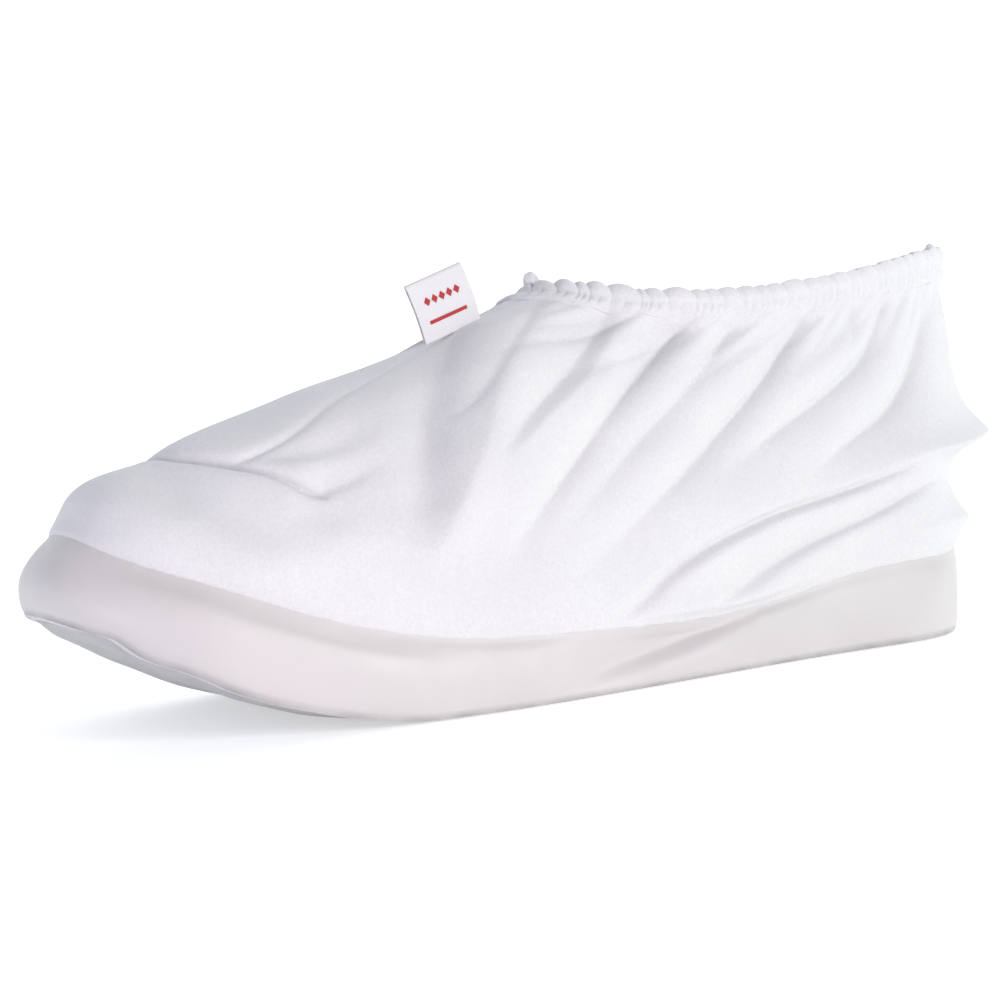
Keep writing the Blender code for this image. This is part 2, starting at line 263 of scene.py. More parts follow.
# Noise in the materials: scale, detail, low and high end of the range used
CLOTH_TONE = (35, 4.0, 0.35, 0.7)
CLOTH_GRAIN = (1100, 2.0, 0.3, 0.7)
COATED_TONE = (28, 4.0, 0.35, 0.7)
COATED_GLOSS = (70, 4.0, 0.3, 0.7)
GRIP_SCUFFS = (120, 6.0, 0.48, 0.75)
GRIP_GLOSS = (300, 3.0, 0.3, 0.7)
FLOOR_TONE = (6, 2.0, 0.3, 0.7)

# Bumps in the materials: scale and detail of the noise, depth in mm, strength
CLOTH_BUMPS = ((1200, 3.0, 0.2, 0.5), (160, 3.0, 0.4, 0.25))
COATED_BUMPS = ((1800, 2.0, 0.05, 0.4), (60, 3.0, 0.6, 0.3))
GRIP_BUMPS = ((1400, 2.0, 0.15, 0.6),)
WEAVE_BUMPS = ((900, 2.0, 0.06, 0.4),)

# Knit and weave: their pitch, depth and strength
KNIT_PITCH = (1.1 * MM, 0.8 * MM)
KNIT_BUMP = (0.12 * MM, 0.15)
WEAVE_BUMP = (0.08 * MM, 0.5)
THREAD_PITCH = 0.5 * MM
PIPING_PITCH = 0.7 * MM
LABEL_PITCH = 0.45 * MM
MARK_PITCH = 0.4 * MM
GRAIN_SHARE = 0.6
GRAIN_SHADE = 0.9
# Dirt and painted shade along the side strip's floor edge: noise, heights over which it fades out, strength
GRIME_AND_SHADE_NOISE = (90, 5.0)
GRIME_AND_SHADE_HEIGHTS = (0.3 * MM, 2.2 * MM)
GRIME_AND_SHADE_SHARE = 1.3

# Camera, light and stage
CAMERA_AT = Vector((-0.4076, -0.6986, 0.1196))
CAMERA_YAW = -0.5139
CAMERA_PITCH = 0.0796
CAMERA_ROLL = -0.0585
CAMERA_LENS = 94.4
CAMERA_SENSOR = 36
CAMERA_CLIP = 0.01
KEY_FROM = Vector((0.43, -0.875, 0.22))
KEY_STRENGTH = 0.775
KEY_SPREAD = math.radians(30)
KEY_COLOUR = (0.965, 1.0, 0.955)
FILL_TOE = (1.36, 1.40, 1.70)
FILL_HEEL = (0.30, 0.33, 0.39)
FILL_TOP = (0.40, 0.41, 0.465)
FILL_TOP_FROM = 0.42
SWEEP_SIZE = 6.0
SWEEP_FRONT = 14.0
SWEEP_BACK = 1.4
SWEEP_BEND = 1.2
SWEEP_STEPS = 24

# Low fills: name, place, aim, size, power, colour
LOW_FILLS = (
    ("low_fill", (-0.30, -0.52, 0.03), (-0.07, -0.05, 0.04), (0.30, 0.05), 0.36, (1.0, 0.28, 0.58)),
    ("toe_fill", (-0.42, -0.12, 0.03), (-0.15, -0.01, 0.045), (0.16, 0.05), 0.19, (0.84, 0.92, 1.0)),
)

# Height of the side strip along the sole: station, height in mm
BAND_HEIGHTS = (
    (0.0, 21.5),
    (0.12, 25.0),
    (0.26, 23.0),
    (0.45, 20.0),
    (0.66, 18.5),
    (0.85, 26.0),
    (1.0, 26.5),
)

# Slump of the sole's edge behind the toe: x in mm, drop in mm
EDGE_SAG = (
    (-166, 0.0),
    (-158, -0.3),
    (-153, -1.1),
    (-147, 1.2),
    (-143, 1.5),
    (-138, 1.2),
    (-132, 1.6),
    (-127, 2.4),
    (-120, 3.0),
    (-104, 2.9),
    (-86, 2.5),
    (-76, 2.1),
    (-66, 1.3),
    (-56, 0.4),
    (-46, 0.0),
)

# Section of the side strip: share of its height, inset from the sole's outline in mm
BAND_SECTION = (
    (0.01, 1.2),
    (0.12, 0.0),
    (0.36, -1.0),
    (0.62, -1.0),
    (0.84, -0.2),
    (1.0, 0.8),
)

# Section of the outsole: place across it from -1 to 1, share of the toe's hang, share of the arch
OUTSOLE_SECTION = (
    (-1.0, 0.0, 0.0),
    (-0.94, 0.6, 0.0),
    (-0.8, 1.0, 0.2),
    (0.0, 1.0, 1.0),
    (0.8, 1.0, 0.2),
    (0.94, 0.6, 0.0),
    (1.0, 0.0, 0.0),
)

# Height of the collar's top edge: angle, height in mm
COLLAR_HEIGHTS = (
    (0, 120.0),
    (30, 120.0),
    (50, 117.0),
    (75, 116.0),
    (105, 119.0),
    (135, 124.0),
    (180, 126.0),
)

# Handles of the upper's meridians in mm: angle, seam rise, seam lean, collar fore, collar drop, collar out
MERIDIANS = (
    (0, 24, -1, 105, 40, 0),
    (35, 26, 3, 85, 38, 10),
    (70, 34, 5, 45, 40, 14),
    (110, 34, 3, 20, 36, 9),
    (150, 32, 2, 3, 34, 4),
    (180, 30, 2, 0, 34, 3),
)

# Folds of the upper. A ridge has positive heights and a valley negative ones, and the two sides are
# the left and right of its way, seen from outside. Sizes are in mm. A spread widens or narrows the fold
# at a point, and is 1 where a row leaves it out.
# name, left side (kind, width), right side (kind, width), points (x, y, z, height, spread)
UPPER_FOLDS = (
    ("toe_dip", ("round", 9), ("round", 9),
     ((-131, -36, 65, 0), (-130, -20, 72, -1.4), (-129, 0, 76, -1.6), (-130, 20, 72, -1.4),
      (-131, 36, 65, 0))),
    ("toe_lean", ("round", 7), ("round", 7),
     ((-140, -36, 58, 0), (-152, -18, 63, -1.2), (-156, 0, 64, -1.6), (-152, 18, 63, -1.4),
      (-140, 36, 58, 0))),
    ("throat_step", ("round", 18), ("ramp", 24),
     ((1, -19, 112, 2.5, 0.9), (-17, -23, 103, 5.5, 1.1), (-29, -31, 90, 7), (-42, -41, 74, 6.5, 0.8),
      (-57, -49, 56, 4, 0.5), (-68, -52, 44, 0, 0.3))),
    ("throat_line", ("round", 7), ("sharp", 10),
     ((-36, -13, 104, -1.4, 0.8), (-50, -27, 89, -2.8), (-58, -37, 75, -3), (-63, -46, 62, -2.2),
      (-68, -51, 49, 0))),
    ("throat_crease", ("sharp", 2), ("sharp", 4),
     ((-6, -16, 113, -1, 0.8), (-21, -24, 100, -1.2), (-35, -31, 89, -1.2), (-42, -33, 84, -1),
      (-50, -33, 82, 0))),
    ("gather_1", ("ramp", 5.5), ("sharp", 9),
     ((14, -24, 110, -1.7, 0.8), (-4, -31, 95, -3), (-22, -37, 83, -2.8, 0.8), (-38, -44, 70, 0, 0.4))),
    ("ridge_2", ("round", 5), ("round", 9),
     ((25, -25, 111, 0.6, 0.6), (-1, -37, 86, 1.8, 0.9), (-25, -46, 67, 2), (-52, -55, 36, 0))),
    ("gather_2", ("sharp", 9), ("sharp", 10),
     ((36, -29, 105, -1.4, 0.6), (10, -36, 86, -2.4, 0.9), (-19, -47, 63, -3.8),
      (-36, -53, 49, -2.8, 1.1), (-54, -56, 34, 0, 1.2))),
    ("gather_3", ("sharp", 5), ("sharp", 5),
     ((43, -29, 110, -1.8, 0.6), (28, -30, 100, -3, 0.9), (19, -32, 94, -2.4), (2, -38, 81, 0))),
    ("gather_4", ("sharp", 8), ("sharp", 9),
     ((59, -31, 109, -1.5, 0.6), (48, -32, 97, -2.9, 0.8), (32, -38, 86, -3.8), (10, -45, 72, -3.6, 1.1),
      (-10, -51, 57, -1.8, 1.1), (-28, -54, 44, 0, 1.2))),
    ("gather_5", ("sharp", 10), ("sharp", 14),
     ((87, -31, 109, -2.4, 0.4), (65, -31, 87, -5.8, 0.7), (35, -41, 66, -6.2), (5, -50, 48, -4, 1.1),
      (-26, -54, 30, 0, 1.2))),
    ("gather_6", ("sharp", 4), ("sharp", 4),
     ((104, -28, 110, -1.8, 0.8), (104, -28, 104, -1.8), (101, -29, 93, 0))),
    ("gather_7", ("sharp", 6), ("sharp", 5),
     ((119, -26, 108, -2, 0.6), (106, -29, 91, -3.8, 0.8), (94, -31, 84, -4), (68, -35, 72, -2.8, 1.1),
      (40, -43, 58, 0, 1.2))),
    ("gather_8", ("sharp", 7), ("sharp", 5),
     ((139, -22, 104, -2, 0.6), (125, -29, 84, -4, 0.9), (112, -34, 74, -4), (96, -37, 67, -2.6),
      (72, -43, 55, 0))),
    ("crease_2", ("sharp", 1.8), ("sharp", 1.3),
     ((36, -29, 105, -0.4), (10, -36, 86, -1), (-19, -47, 63, -0.8), (-36, -53, 49, 0))),
    ("crease_5", ("sharp", 1.8), ("sharp", 1.3),
     ((87, -31, 109, -0.6), (65, -31, 87, -1.3), (35, -41, 66, -1), (5, -50, 48, 0))),
    ("crease_7", ("sharp", 1.8), ("sharp", 1.3),
     ((119, -26, 108, -0.4), (106, -29, 91, -1.1), (94, -31, 84, -1.1), (68, -35, 72, -0.6),
      (54, -39, 65, 0))),
    ("crease_8", ("sharp", 1.8), ("sharp", 1.3),
     ((139, -22, 104, -0.4), (125, -29, 84, -1.1), (112, -34, 74, -1.1), (96, -37, 67, -0.8),
      (80, -41, 59, 0))),
    ("heel_lip_high", ("sharp", 3), ("sharp", 8),
     ((120, 42, 62, 0), (148, 30, 66, 7), (160, 14, 67, 13), (163, -12, 65, 15), (150, -28, 62, 9),
      (127, -39, 60, 4, 0.9), (102, -43, 55, 1.8, 0.8), (58, -49, 48, 1, 0.8), (22, -50, 37, 0, 0.7))),
    ("heel_hollow", ("round", 8), ("round", 8),
     ((126, 40, 50, 0), (146, 24, 51, -3), (152, 0, 51, -3.6), (147, -22, 51, -3), (128, -38, 50, 0))),
    ("heel_line", ("sharp", 1.2), ("sharp", 1.6),
     ((136, -35, 61, 0), (120, -40, 58, -1.6), (87, -44, 51, -2), (58, -48, 46, -2.2),
      (22, -50, 35, -2.2), (4, -51, 25, -2), (-16, -53, 15, 0))),
    ("heel_roll", ("round", 6), ("round", 2.4),
     ((130, -38, 56, 0), (87, -43, 48, 1.6), (58, -47, 43, 1.8), (23, -50, 32, 1.6), (4, -51, 22, 0))),
    ("waist_line", ("sharp", 1.2), ("sharp", 1.6),
     ((134, -34, 52, 0), (116, -38, 48, -1.4), (101, -39, 43, -1.8), (66, -43, 34, -2),
      (42, -46, 25, -1.8), (24, -48, 18, 0))),
    ("waist_roll", ("round", 6), ("round", 2.4),
     ((128, -36, 46, 0), (98, -39, 40, 1.4), (66, -43, 31, 1.6), (44, -46, 22, 0))),
    ("heel_lip_low", ("sharp", 4.5), ("sharp", 4.5),
     ((140, 34, 38, 0), (153, 10, 38, 6.5), (154, -12, 37, 7), (140, -30, 37, 4), (116, -42, 36, 0))),
    ("vamp_line", ("sharp", 1.5), ("sharp", 1.4),
     ((-40, -8, 105, 0), (-73, -16, 92, -0.8), (-98, -25, 80, -1.4), (-111, -24, 77, -1.5),
      (-120, -18, 77, 0))),
    ("vamp_crease", ("sharp", 1.6), ("sharp", 1.1),
     ((-128, 2, 78, -1.2), (-124, -10, 78, -2.8), (-113, -25, 76, -3.8), (-104, -33, 73, -3.4),
      (-94, -40, 67, -2.6), (-90, -42, 66, 0))),
    ("vamp_hollow", ("round", 5), ("round", 4),
     ((-112, -24, 77, 0, 0.6), (-101, -29, 77, -1.2, 0.8), (-86, -31, 78, -1.6), (-66, -29, 84, 0, 1.2))),
    ("vamp_kink", ("round", 7), ("sharp", 3),
     ((-98, -38, 69, 0, 0.8), (-91, -40, 68, -1.8), (-83, -40, 70, -1.6, 1.1), (-70, -38, 75, 0, 1.2))),
    ("vamp_dimple", ("round", 6), ("round", 6),
     ((-104, -40, 65, 0), (-94, -44, 62, -1), (-84, -47, 58, 0))),
    ("toe_trough", ("round", 9), ("round", 7),
     ((-138, -6, 75, 0), (-127, -25, 69, -2), (-117, -38, 62, -2.2), (-96, -49, 49, 0))),
    ("seam_sag", ("round", 6), ("round", 7),
     ((90, -43, 28, 0), (60, -45, 22, 2), (20, -50, 19, 2.2), (-14, -54, 17, 0))),
    ("far_throat_step", ("ramp", 22), ("round", 16),
     ((2, 20, 108, 2, 0.9), (-18, 28, 96, 4), (-34, 39, 80, 4.5, 0.9), (-52, 49, 58, 2.5, 0.5),
      (-64, 53, 44, 0, 0.3))),
    ("far_gather_1", ("round", 8), ("sharp", 5),
     ((22, 27, 106, -1.6, 0.6), (2, 34, 92, -2.8, 0.9), (-20, 44, 74, -2), (-38, 52, 54, 0))),
    ("far_gather_2", ("round", 12), ("sharp", 7),
     ((50, 30, 103, -2, 0.6), (28, 36, 88, -3.6, 0.9), (4, 45, 68, -2.6), (-20, 52, 46, 0, 1.2))),
    ("far_gather_3", ("round", 6), ("sharp", 4),
     ((78, 30, 104, -1.6, 0.6), (62, 35, 90, -2.4), (36, 43, 70, 0))),
    ("far_gather_4", ("round", 13), ("sharp", 7),
     ((106, 29, 105, -2, 0.6), (84, 35, 86, -4, 0.9), (56, 43, 66, -2.8), (24, 49, 46, 0, 1.2))),
    ("far_gather_5", ("round", 6), ("sharp", 4),
     ((132, 22, 106, -1.4, 0.6), (116, 31, 88, -2.4), (88, 39, 68, 0))),
    ("far_waist_line", ("sharp", 2.5), ("round", 6),
     ((138, 30, 56, 0), (104, 40, 50, -2.4), (58, 47, 40, -2.4), (20, 51, 26, 0))),
    ("far_vamp_crease", ("round", 8), ("sharp", 4),
     ((-127, 6, 78, -0.8), (-112, 27, 74, -2.4), (-94, 38, 68, 0))),
    ("back_seam", ("sharp", 1.5), ("sharp", 1.5),
     ((164, 0, 116, -0.8), (159, 0, 96, -0.7), (157, 0, 82, 0))),
)

# Folds of the side strip, with the same columns
BAND_FOLDS = (
    ("side_trough", ("round", 4.2), ("round", 8),
     ((46, -46, 19, -0.9, 0.7), (12, -50, 12, -3.4), (-10, -53, 8, -3.2), (-32, -55, 5, 0, 1.2))),
    ("side_swell", ("round", 7), ("round", 7),
     ((70, -44, 18, 0), (46, -46, 12, 0.9), (20, -50, 6, 0.9), (-4, -53, 3, 0))),
    ("toe_crest", ("round", 3), ("round", 7),
     ((-158, -20, 48, 0), (-137, -39, 40, 0.7), (-120, -47, 33, 0.8), (-93, -54, 23, 0.7),
      (-50, -56, 13, 0))),
    ("far_trough", ("round", 9), ("sharp", 5),
     ((38, 47, 17, -0.6, 0.7), (12, 51, 11, -1.6), (-8, 54, 6, -1.6), (-26, 56, 3, 0))),
    ("far_crest", ("round", 7), ("round", 3),
     ((-156, 24, 47, 0), (-124, 46, 34, 1.1), (-92, 54, 22, 1), (-50, 56, 13, 0))),
    ("heel_dent", ("round", 7), ("round", 7),
     ((126, -39, 15, 0), (140, -24, 14, -0.9), (149, 0, 14, -0.7), (146, 14, 14, 0))),
)

# Wrinkles of the grip sheet under the toe, with the same columns
SOLE_FOLDS = (
    ("near_1", ("sharp", 2), ("sharp", 1.2),
     ((-159, -16, 33, 0), (-156, -17.5, 31, -2.4), (-152, -19, 28, -2.2), (-146, -20, 25, 0))),
    ("near_2", ("sharp", 2), ("sharp", 1.2),
     ((-152, -25, 30, 0), (-147, -27, 26, -3), (-141, -29, 22, -3), (-134, -30, 18, 0))),
    ("near_3", ("sharp", 1.2), ("sharp", 1.8),
     ((-149, -28, 28, 0), (-143, -31, 24, -3), (-136, -33, 20, -3), (-127, -34, 15, 0))),
    ("near_4", ("sharp", 1.2), ("sharp", 1.8),
     ((-144, -32, 26, 0), (-136, -35, 21, -3), (-128, -37, 16, -2.6), (-118, -38, 11, 0))),
    ("near_5", ("sharp", 1.2), ("sharp", 1.8),
     ((-134, -38, 21, 0), (-126, -40, 16, -2), (-114, -42, 11, 0))),
    ("far_1", ("sharp", 2), ("sharp", 3),
     ((-148, 20, 28, 0), (-134, 27, 19, -2), (-116, 29, 10, -1.6), (-100, 27, 5, 0))),
    ("far_2", ("sharp", 3), ("sharp", 2),
     ((-136, 36, 23, 0), (-120, 40, 13, -2), (-102, 42, 5, 0))),
)


# Reading tables and curves

def read_curve(at, places, values, flat_ends=False):
    """Reads rows of values at any place between their places, with a smooth curve through them."""
    slopes = np.gradient(values, places, axis=0)
    if flat_ends:
        slopes[0] = slopes[-1] = 0
    at = np.clip(np.asarray(at, float), places[0], places[-1])
    left = np.clip(np.searchsorted(places, at, side="right") - 1, 0, len(places) - 2)
    span = (places[left + 1] - places[left])[..., None]
    k = (at - places[left])[..., None] / span
    start = values[left] * (1 + 2 * k) * (1 - k) ** 2
    end = values[left + 1] * k**2 * (3 - 2 * k)
    return start + end + span * k * (1 - k) * (slopes[left] * (1 - k) - slopes[left + 1] * k)


def smooth_rows(at, rows, column):
    table = np.array(rows, float)
    return read_curve(at, table[:, 0], table[:, column, None], flat_ends=True)[..., 0]


def ring_rows(angles, rows, column):
    """Reads a table by angle, with both sides of the cover alike."""
    degrees = np.degrees(np.asarray(angles, float)) % 360
    return smooth_rows(np.minimum(degrees, 360 - degrees), rows, column)


def unit(vectors):
    return vectors / np.linalg.norm(vectors, axis=-1, keepdims=True)


def lengths_along(points, closed=False):
    """Length of a line up to each of its points, and on to its first one again if it is closed."""
    steps = np.diff(points, axis=0, append=points[:1]) if closed else np.diff(points, axis=0)
    return np.concatenate([[0], np.cumsum(np.linalg.norm(steps, axis=1))])


def smooth_path(rows):
    """A smooth line through rows of x, y and z in mm and more: its points, tangents and other columns."""
    rows = np.array(rows, float)
    chord = lengths_along(rows[:, :3])
    path = read_curve(np.linspace(0, chord[-1], PATH_STEPS), chord, rows)
    return path[:, :3] * MM, unit(np.gradient(path[:, :3], axis=0)), path[:, 3:]


def ease(k):
    k = np.clip(k, 0, 1)
    return k * k * (3 - 2 * k)


def ring_angles(steps):
    return np.arange(steps) * 2 * math.pi / steps


def ring_way(values, axis=0):
    """Direction from the neighbour before to the one after, on a closed axis."""
    return np.roll(values, -1, axis=axis) - np.roll(values, 1, axis=axis)


def blurred(values, axis):
    """Values eased into their neighbours on a closed axis."""
    return (np.roll(values, 1, axis=axis) + 2 * values + np.roll(values, -1, axis=axis)) / 4


# The form, worked out as the solids are

def station_x(station):
    return TOE_X + station * SOLE_LENGTH


def station_of(x):
    return np.clip((x - TOE_X) / SOLE_LENGTH, 0, 1)


def angle_station(angles):
    return 0.5 - 0.5 * np.cos(angles)


def half_width(station):
    ball, heel = BALL_WIDTH / 2, HEEL_WIDTH / 2
    ahead = np.clip((BALL_STATION - station) / BALL_STATION, 0, 1)
    toe = ball * (1 - ahead**TOE_ROUNDNESS) ** (1 / TOE_ROUNDNESS)
    along = np.clip((station - BALL_STATION) / (HEEL_STATION - BALL_STATION), 0, 1)
    waist = ball + (heel - ball) * (0.5 - 0.5 * np.cos(math.pi * along))
    behind = np.clip((station - HEEL_STATION) / (1 - HEEL_STATION), 0, 1)
    back = heel * (1 - behind**HEEL_ROUNDNESS) ** (1 / HEEL_ROUNDNESS)
    return np.where(station < BALL_STATION, toe, np.where(station < HEEL_STATION, waist, back))


def sole_edge(station):
    toe = np.clip((FOREFOOT_FLAT[0] - station) / FOREFOOT_FLAT[0], 0, 1)
    heel = np.clip((station - HEEL_FLAT[1]) / (1 - HEEL_FLAT[1]), 0, 1)
    return TOE_SPRING * toe**2 + HEEL_BEVEL * heel**2


def underside(station, hang_share, arch_share):
    toe = np.clip(station / FOREFOOT_FLAT[0], 0, 1)
    arch = np.clip((station - FOREFOOT_FLAT[1]) / (HEEL_FLAT[0] - FOREFOOT_FLAT[1]), 0, 1)
    hang = TOE_CUP * np.sin(math.pi * toe)
    rise = ARCH_RISE * np.sin(math.pi * arch) ** 2
    return np.maximum(sole_edge(station) + arch_share * rise - hang_share * hang, 0)


def edge_sag(x, y):
    """How far the sole's edge has slumped below its even line."""
    side = np.where(y < 0, 1, FAR_EDGE_SHARE) * ease(np.abs(y) / EDGE_SAG_START)
    return smooth_rows(x / MM, EDGE_SAG, 1) * MM * side


def outline(angles, inset):
    """Plan points of the sole's outline, moved in along its normal."""
    angles = np.asarray(angles, float)

    def edge(around):
        station = angle_station(around)
        return station_x(station), -np.sign(np.sin(around)) * half_width(station)

    before, after = np.array(edge(angles - OUTLINE_STEP)), np.array(edge(angles + OUTLINE_STEP))
    along = after - before
    along /= np.linalg.norm(along, axis=0)
    x, y = edge(angles)
    return x - along[1] * inset, y + along[0] * inset


def band_point(angles, share, inset):
    """A point on the side strip, at a share of its height."""
    toe = np.maximum(np.cos(angles), 0) ** 2
    x, y = outline(angles, inset + BAND_TOE_SETBACK * toe * share**BAND_TOE_POWER)
    edge_station = angle_station(angles)
    foot = sole_edge(station_of(x)) * (1 - share) + sole_edge(edge_station) * share
    height = smooth_rows(edge_station, BAND_HEIGHTS, 1) * MM
    return np.stack([x, y, foot + share * height], axis=-1)


def collar_point(angles):
    front, back = station_x(COLLAR_FRONT_STATION), station_x(COLLAR_BACK_STATION)
    x = (front + back) / 2 - (back - front) / 2 * np.cos(angles)
    y = -COLLAR_WIDTH / 2 * np.sin(angles)
    far = np.sqrt(np.maximum(-np.sin(angles), 0))
    z = ring_rows(angles, COLLAR_HEIGHTS, 1) * MM - COLLAR_FAR_DROP * far
    return np.stack([x, y, z], axis=-1)


def upper_grid(angles, shares):
    """The upper's smooth form: share 0 is the seam, 1 the foot of the collar casing and 2 its top edge."""
    seam = band_point(angles, 1.0, BAND_SECTION[-1][1] * MM)
    collar = collar_point(angles)
    seam[:, 2] += GAP
    rise, lean, fore, drop, out = (ring_rows(angles, MERIDIANS, c) * MM for c in range(1, 6))
    x, y = outline(angles, 0)
    wider_x, wider_y = outline(angles, -MM)
    normal = np.stack([wider_x - x, wider_y - y], axis=-1) / MM
    first, second = seam.copy(), collar.copy()
    first[:, :2] += normal * lean[:, None]
    first[:, 2] += rise
    second[:, :2] += normal * out[:, None]
    second[:, 0] -= fore
    second[:, 2] -= drop
    k = np.linspace(0, 1, MERIDIAN_STEPS)[:, None, None]
    path = seam * (1 - k) ** 3 + 3 * first * k * (1 - k) ** 2
    path += 3 * second * k**2 * (1 - k) + collar * k**3
    steps = np.linalg.norm(np.diff(path, axis=0), axis=2)
    length = np.vstack([np.zeros(len(angles)), np.cumsum(steps, axis=0)])
    grid = np.empty((len(shares), len(angles), 3))
    for column in range(len(angles)):
        whole = length[-1, column]
        wanted = np.interp(shares, [0, 1, 2], [0, whole - CASING_HEIGHT, whole])
        for axis in range(3):
            grid[:, column, axis] = np.interp(wanted, length[:, column], path[:, column, axis])
    return grid


def grid_normals(grid):
    """Outward normals of a grid whose columns go round the cover and whose rows go up."""
    return unit(np.cross(ring_way(grid, axis=1), np.gradient(grid, axis=0)))


# Folds, gathers and ripples

def fold_profile(kind, ratio):
    """Share of a fold's height at a distance from its line, as a ratio of its width."""
    if kind == "round":
        return np.exp(-(ratio**2))
    if kind == "sharp":
        return np.exp(TIP_ROUNDING - np.hypot(ratio, TIP_ROUNDING))
    return (1 - ratio + np.hypot(1 - ratio, RAMP_ROUNDING)) / (1 + math.hypot(1, RAMP_ROUNDING))


def fold_push(grid, normals, folds):
    """How far each point of a grid is pushed along its normal by folds, measured along the cloth.

    A fold's line may lie up to the line depth off the cloth, and past that it counts as further away,
    so that no fold shows through on the other side.
    """
    push = np.zeros(grid.shape[:2])
    for _, (left_kind, left), (right_kind, right), rows in folds:
        path, tangents, columns = smooth_path([(*row, 1)[:5] for row in rows])
        step = np.linalg.norm(np.diff(path, axis=0), axis=1).mean()
        reach = FOLD_REACH * max(left, right) * MM
        near = np.all((grid > path.min(axis=0) - reach) & (grid < path.max(axis=0) + reach), axis=2)
        point, normal = grid[near], normals[near]
        apart = point[:, None] - path
        lift = np.einsum("ikc,ic->ik", apart, normal)
        apart -= lift[..., None] * normal[:, None]
        beyond = np.maximum(np.abs(lift) - LINE_DEPTH, 0)
        nearest = np.hypot(np.linalg.norm(apart, axis=2), beyond).argmin(axis=1)
        each = np.arange(len(nearest))
        way, off = tangents[nearest], apart[each, nearest]
        along = np.clip(np.einsum("ic,ic->i", off, way), -step / 2, step / 2)
        off = off - along[:, None] * way
        place = nearest + along / step
        height, spread = (np.interp(place, np.arange(PATH_STEPS), c) for c in columns.T)
        distance = np.hypot(np.linalg.norm(off, axis=1), beyond[each, nearest])
        ratio = distance / np.maximum(spread, LEAST_SPREAD) / MM
        on_right = np.einsum("ic,ic->i", np.cross(way, normal), off) > 0
        profiles = fold_profile(right_kind, ratio / right), fold_profile(left_kind, ratio / left)
        push[near] += height * MM * np.where(on_right, *profiles)
    return push


def gather_places():
    """Angles of the valleys between the collar's gathers, unevenly spaced along its foot."""
    draw = np.random.default_rng(GATHER_SEED)
    angles = ring_angles(GATHER_STEPS)
    length = lengths_along(upper_grid(angles, [1.0])[0])
    jitter = draw.uniform(-GATHER_JITTER, GATHER_JITTER, GATHER_COUNT)
    at = (np.arange(GATHER_COUNT) + jitter + 0.5) / GATHER_COUNT
    return np.interp(at * length[-1], length, angles)


def gather_folds(places):
    """Short valleys that run from each gather down the upper, slanting towards the toe."""
    draw = np.random.default_rng(GATHER_SEED + 1)
    folds = []
    for angle in places:
        long = draw.uniform(*GATHER_LENGTHS) * MM
        depth = draw.uniform(*GATHER_DEPTHS)
        slant = draw.uniform(*GATHER_SLANTS) * math.copysign(1, math.pi - angle)
        rows = []
        for along, share, spread in GATHER_SHAPE:
            turned = np.array([angle - slant * along * long / COLLAR_WIDTH])
            point = upper_grid(turned, [1 - along * long / GATHER_MERIDIAN])[0, 0] / MM
            rows.append((*point, -depth * share, spread))
        folds.append(("gather", *GATHER_SIDES, rows))
    return folds


def soften(push):
    """Takes the jags off folds that run across the rows and columns of a grid."""
    held = np.concatenate([push[:1], push, push[-1:]])
    return blurred((held[:-2] + 2 * push + held[2:]) / 4, axis=1)


def ripples(grid, size, height, seed, waves=14):
    """Soft, uneven undulation: a sum of waves of about one size, in directions drawn from a seed."""
    draw = np.random.default_rng(seed)
    total = np.zeros(grid.shape[:2])
    for _ in range(waves):
        way = draw.normal(size=3)
        way *= 2 * math.pi / (size * draw.uniform(*RIPPLE_SIZES)) / np.linalg.norm(way)
        total += np.sin(grid @ way + draw.uniform(0, 2 * math.pi))
    return total * height / math.sqrt(waves)


# Meshes

def grid_mesh(name, rows, wrap_rows, wrap_columns=True):
    """A mesh through rows of points, with a UV map in metres along and up the grid."""
    count, width = rows.shape[:2]
    down, across = count if wrap_rows else count - 1, width if wrap_columns else width - 1
    i, j = np.meshgrid(np.arange(down), np.arange(across), indexing="ij")
    row, next_row, next_j = i * width, (i + 1) % count * width, (j + 1) % width
    faces = np.stack([row + j, row + next_j, next_row + next_j, next_row + j], axis=-1)
    mesh = bpy.data.meshes.new(name)
    mesh.from_pydata(rows.reshape(-1, 3).tolist(), [], faces.reshape(-1, 4).tolist())
    u, v = (lengths_along(line, closed=True) for line in (rows[count // 4], rows[:, width // 4]))
    corners_u = np.stack([u[j], u[j + 1], u[j + 1], u[j]], axis=-1)
    corners_v = np.stack([v[i], v[i], v[i + 1], v[i + 1]], axis=-1)
    layer = mesh.uv_layers.new(name="size")
    layer.data.foreach_set("uv", np.stack([corners_u, corners_v], axis=-1).ravel())
    mesh.shade_smooth()
    return mesh


def joined_mesh(name, shape_faces, copies):
    """Many copies of one small shape in one mesh. Copies holds the points of each."""
    step = len(copies[0])
    faces = [[corner + step * n for corner in face] for n in range(len(copies)) for face in shape_faces]
    mesh = bpy.data.meshes.new(name)
    mesh.from_pydata(np.concatenate(copies).tolist(), [], faces)
    mesh.shade_smooth()
    return mesh


def ring_faces(rings, sides):
    """Faces of a closed shape made of rings of points."""
    faces = [list(range(sides))[::-1], [(rings - 1) * sides + s for s in range(sides)]]
    for r in range(rings - 1):
        for s in range(sides):
            t = (s + 1) % sides
            faces.append([r * sides + s, r * sides + t, (r + 1) * sides + t, (r + 1) * sides + s])
    return faces


def capsule_points(rings, sides):
    """Points of a capsule along X from -0.5 to 0.5, ring by ring."""
    along = np.linspace(-0.5, 0.5, rings)
    radius = np.sqrt(np.maximum(1 - (np.abs(along) * 2) ** 4, STITCH_TIP))
    turn = ring_angles(sides)
    return np.stack([np.repeat(along, sides), np.outer(radius, np.cos(turn)).ravel(),
                     np.outer(radius, np.sin(turn)).ravel()], axis=-1)


def edit_mesh(mesh, change):
    """Makes a change to a mesh by way of a bmesh."""
    made = bmesh.new()
    made.from_mesh(mesh)
    made.verts.ensure_lookup_table()
    change(made)
    made.to_mesh(mesh)
    made.free()
    mesh.shade_smooth()


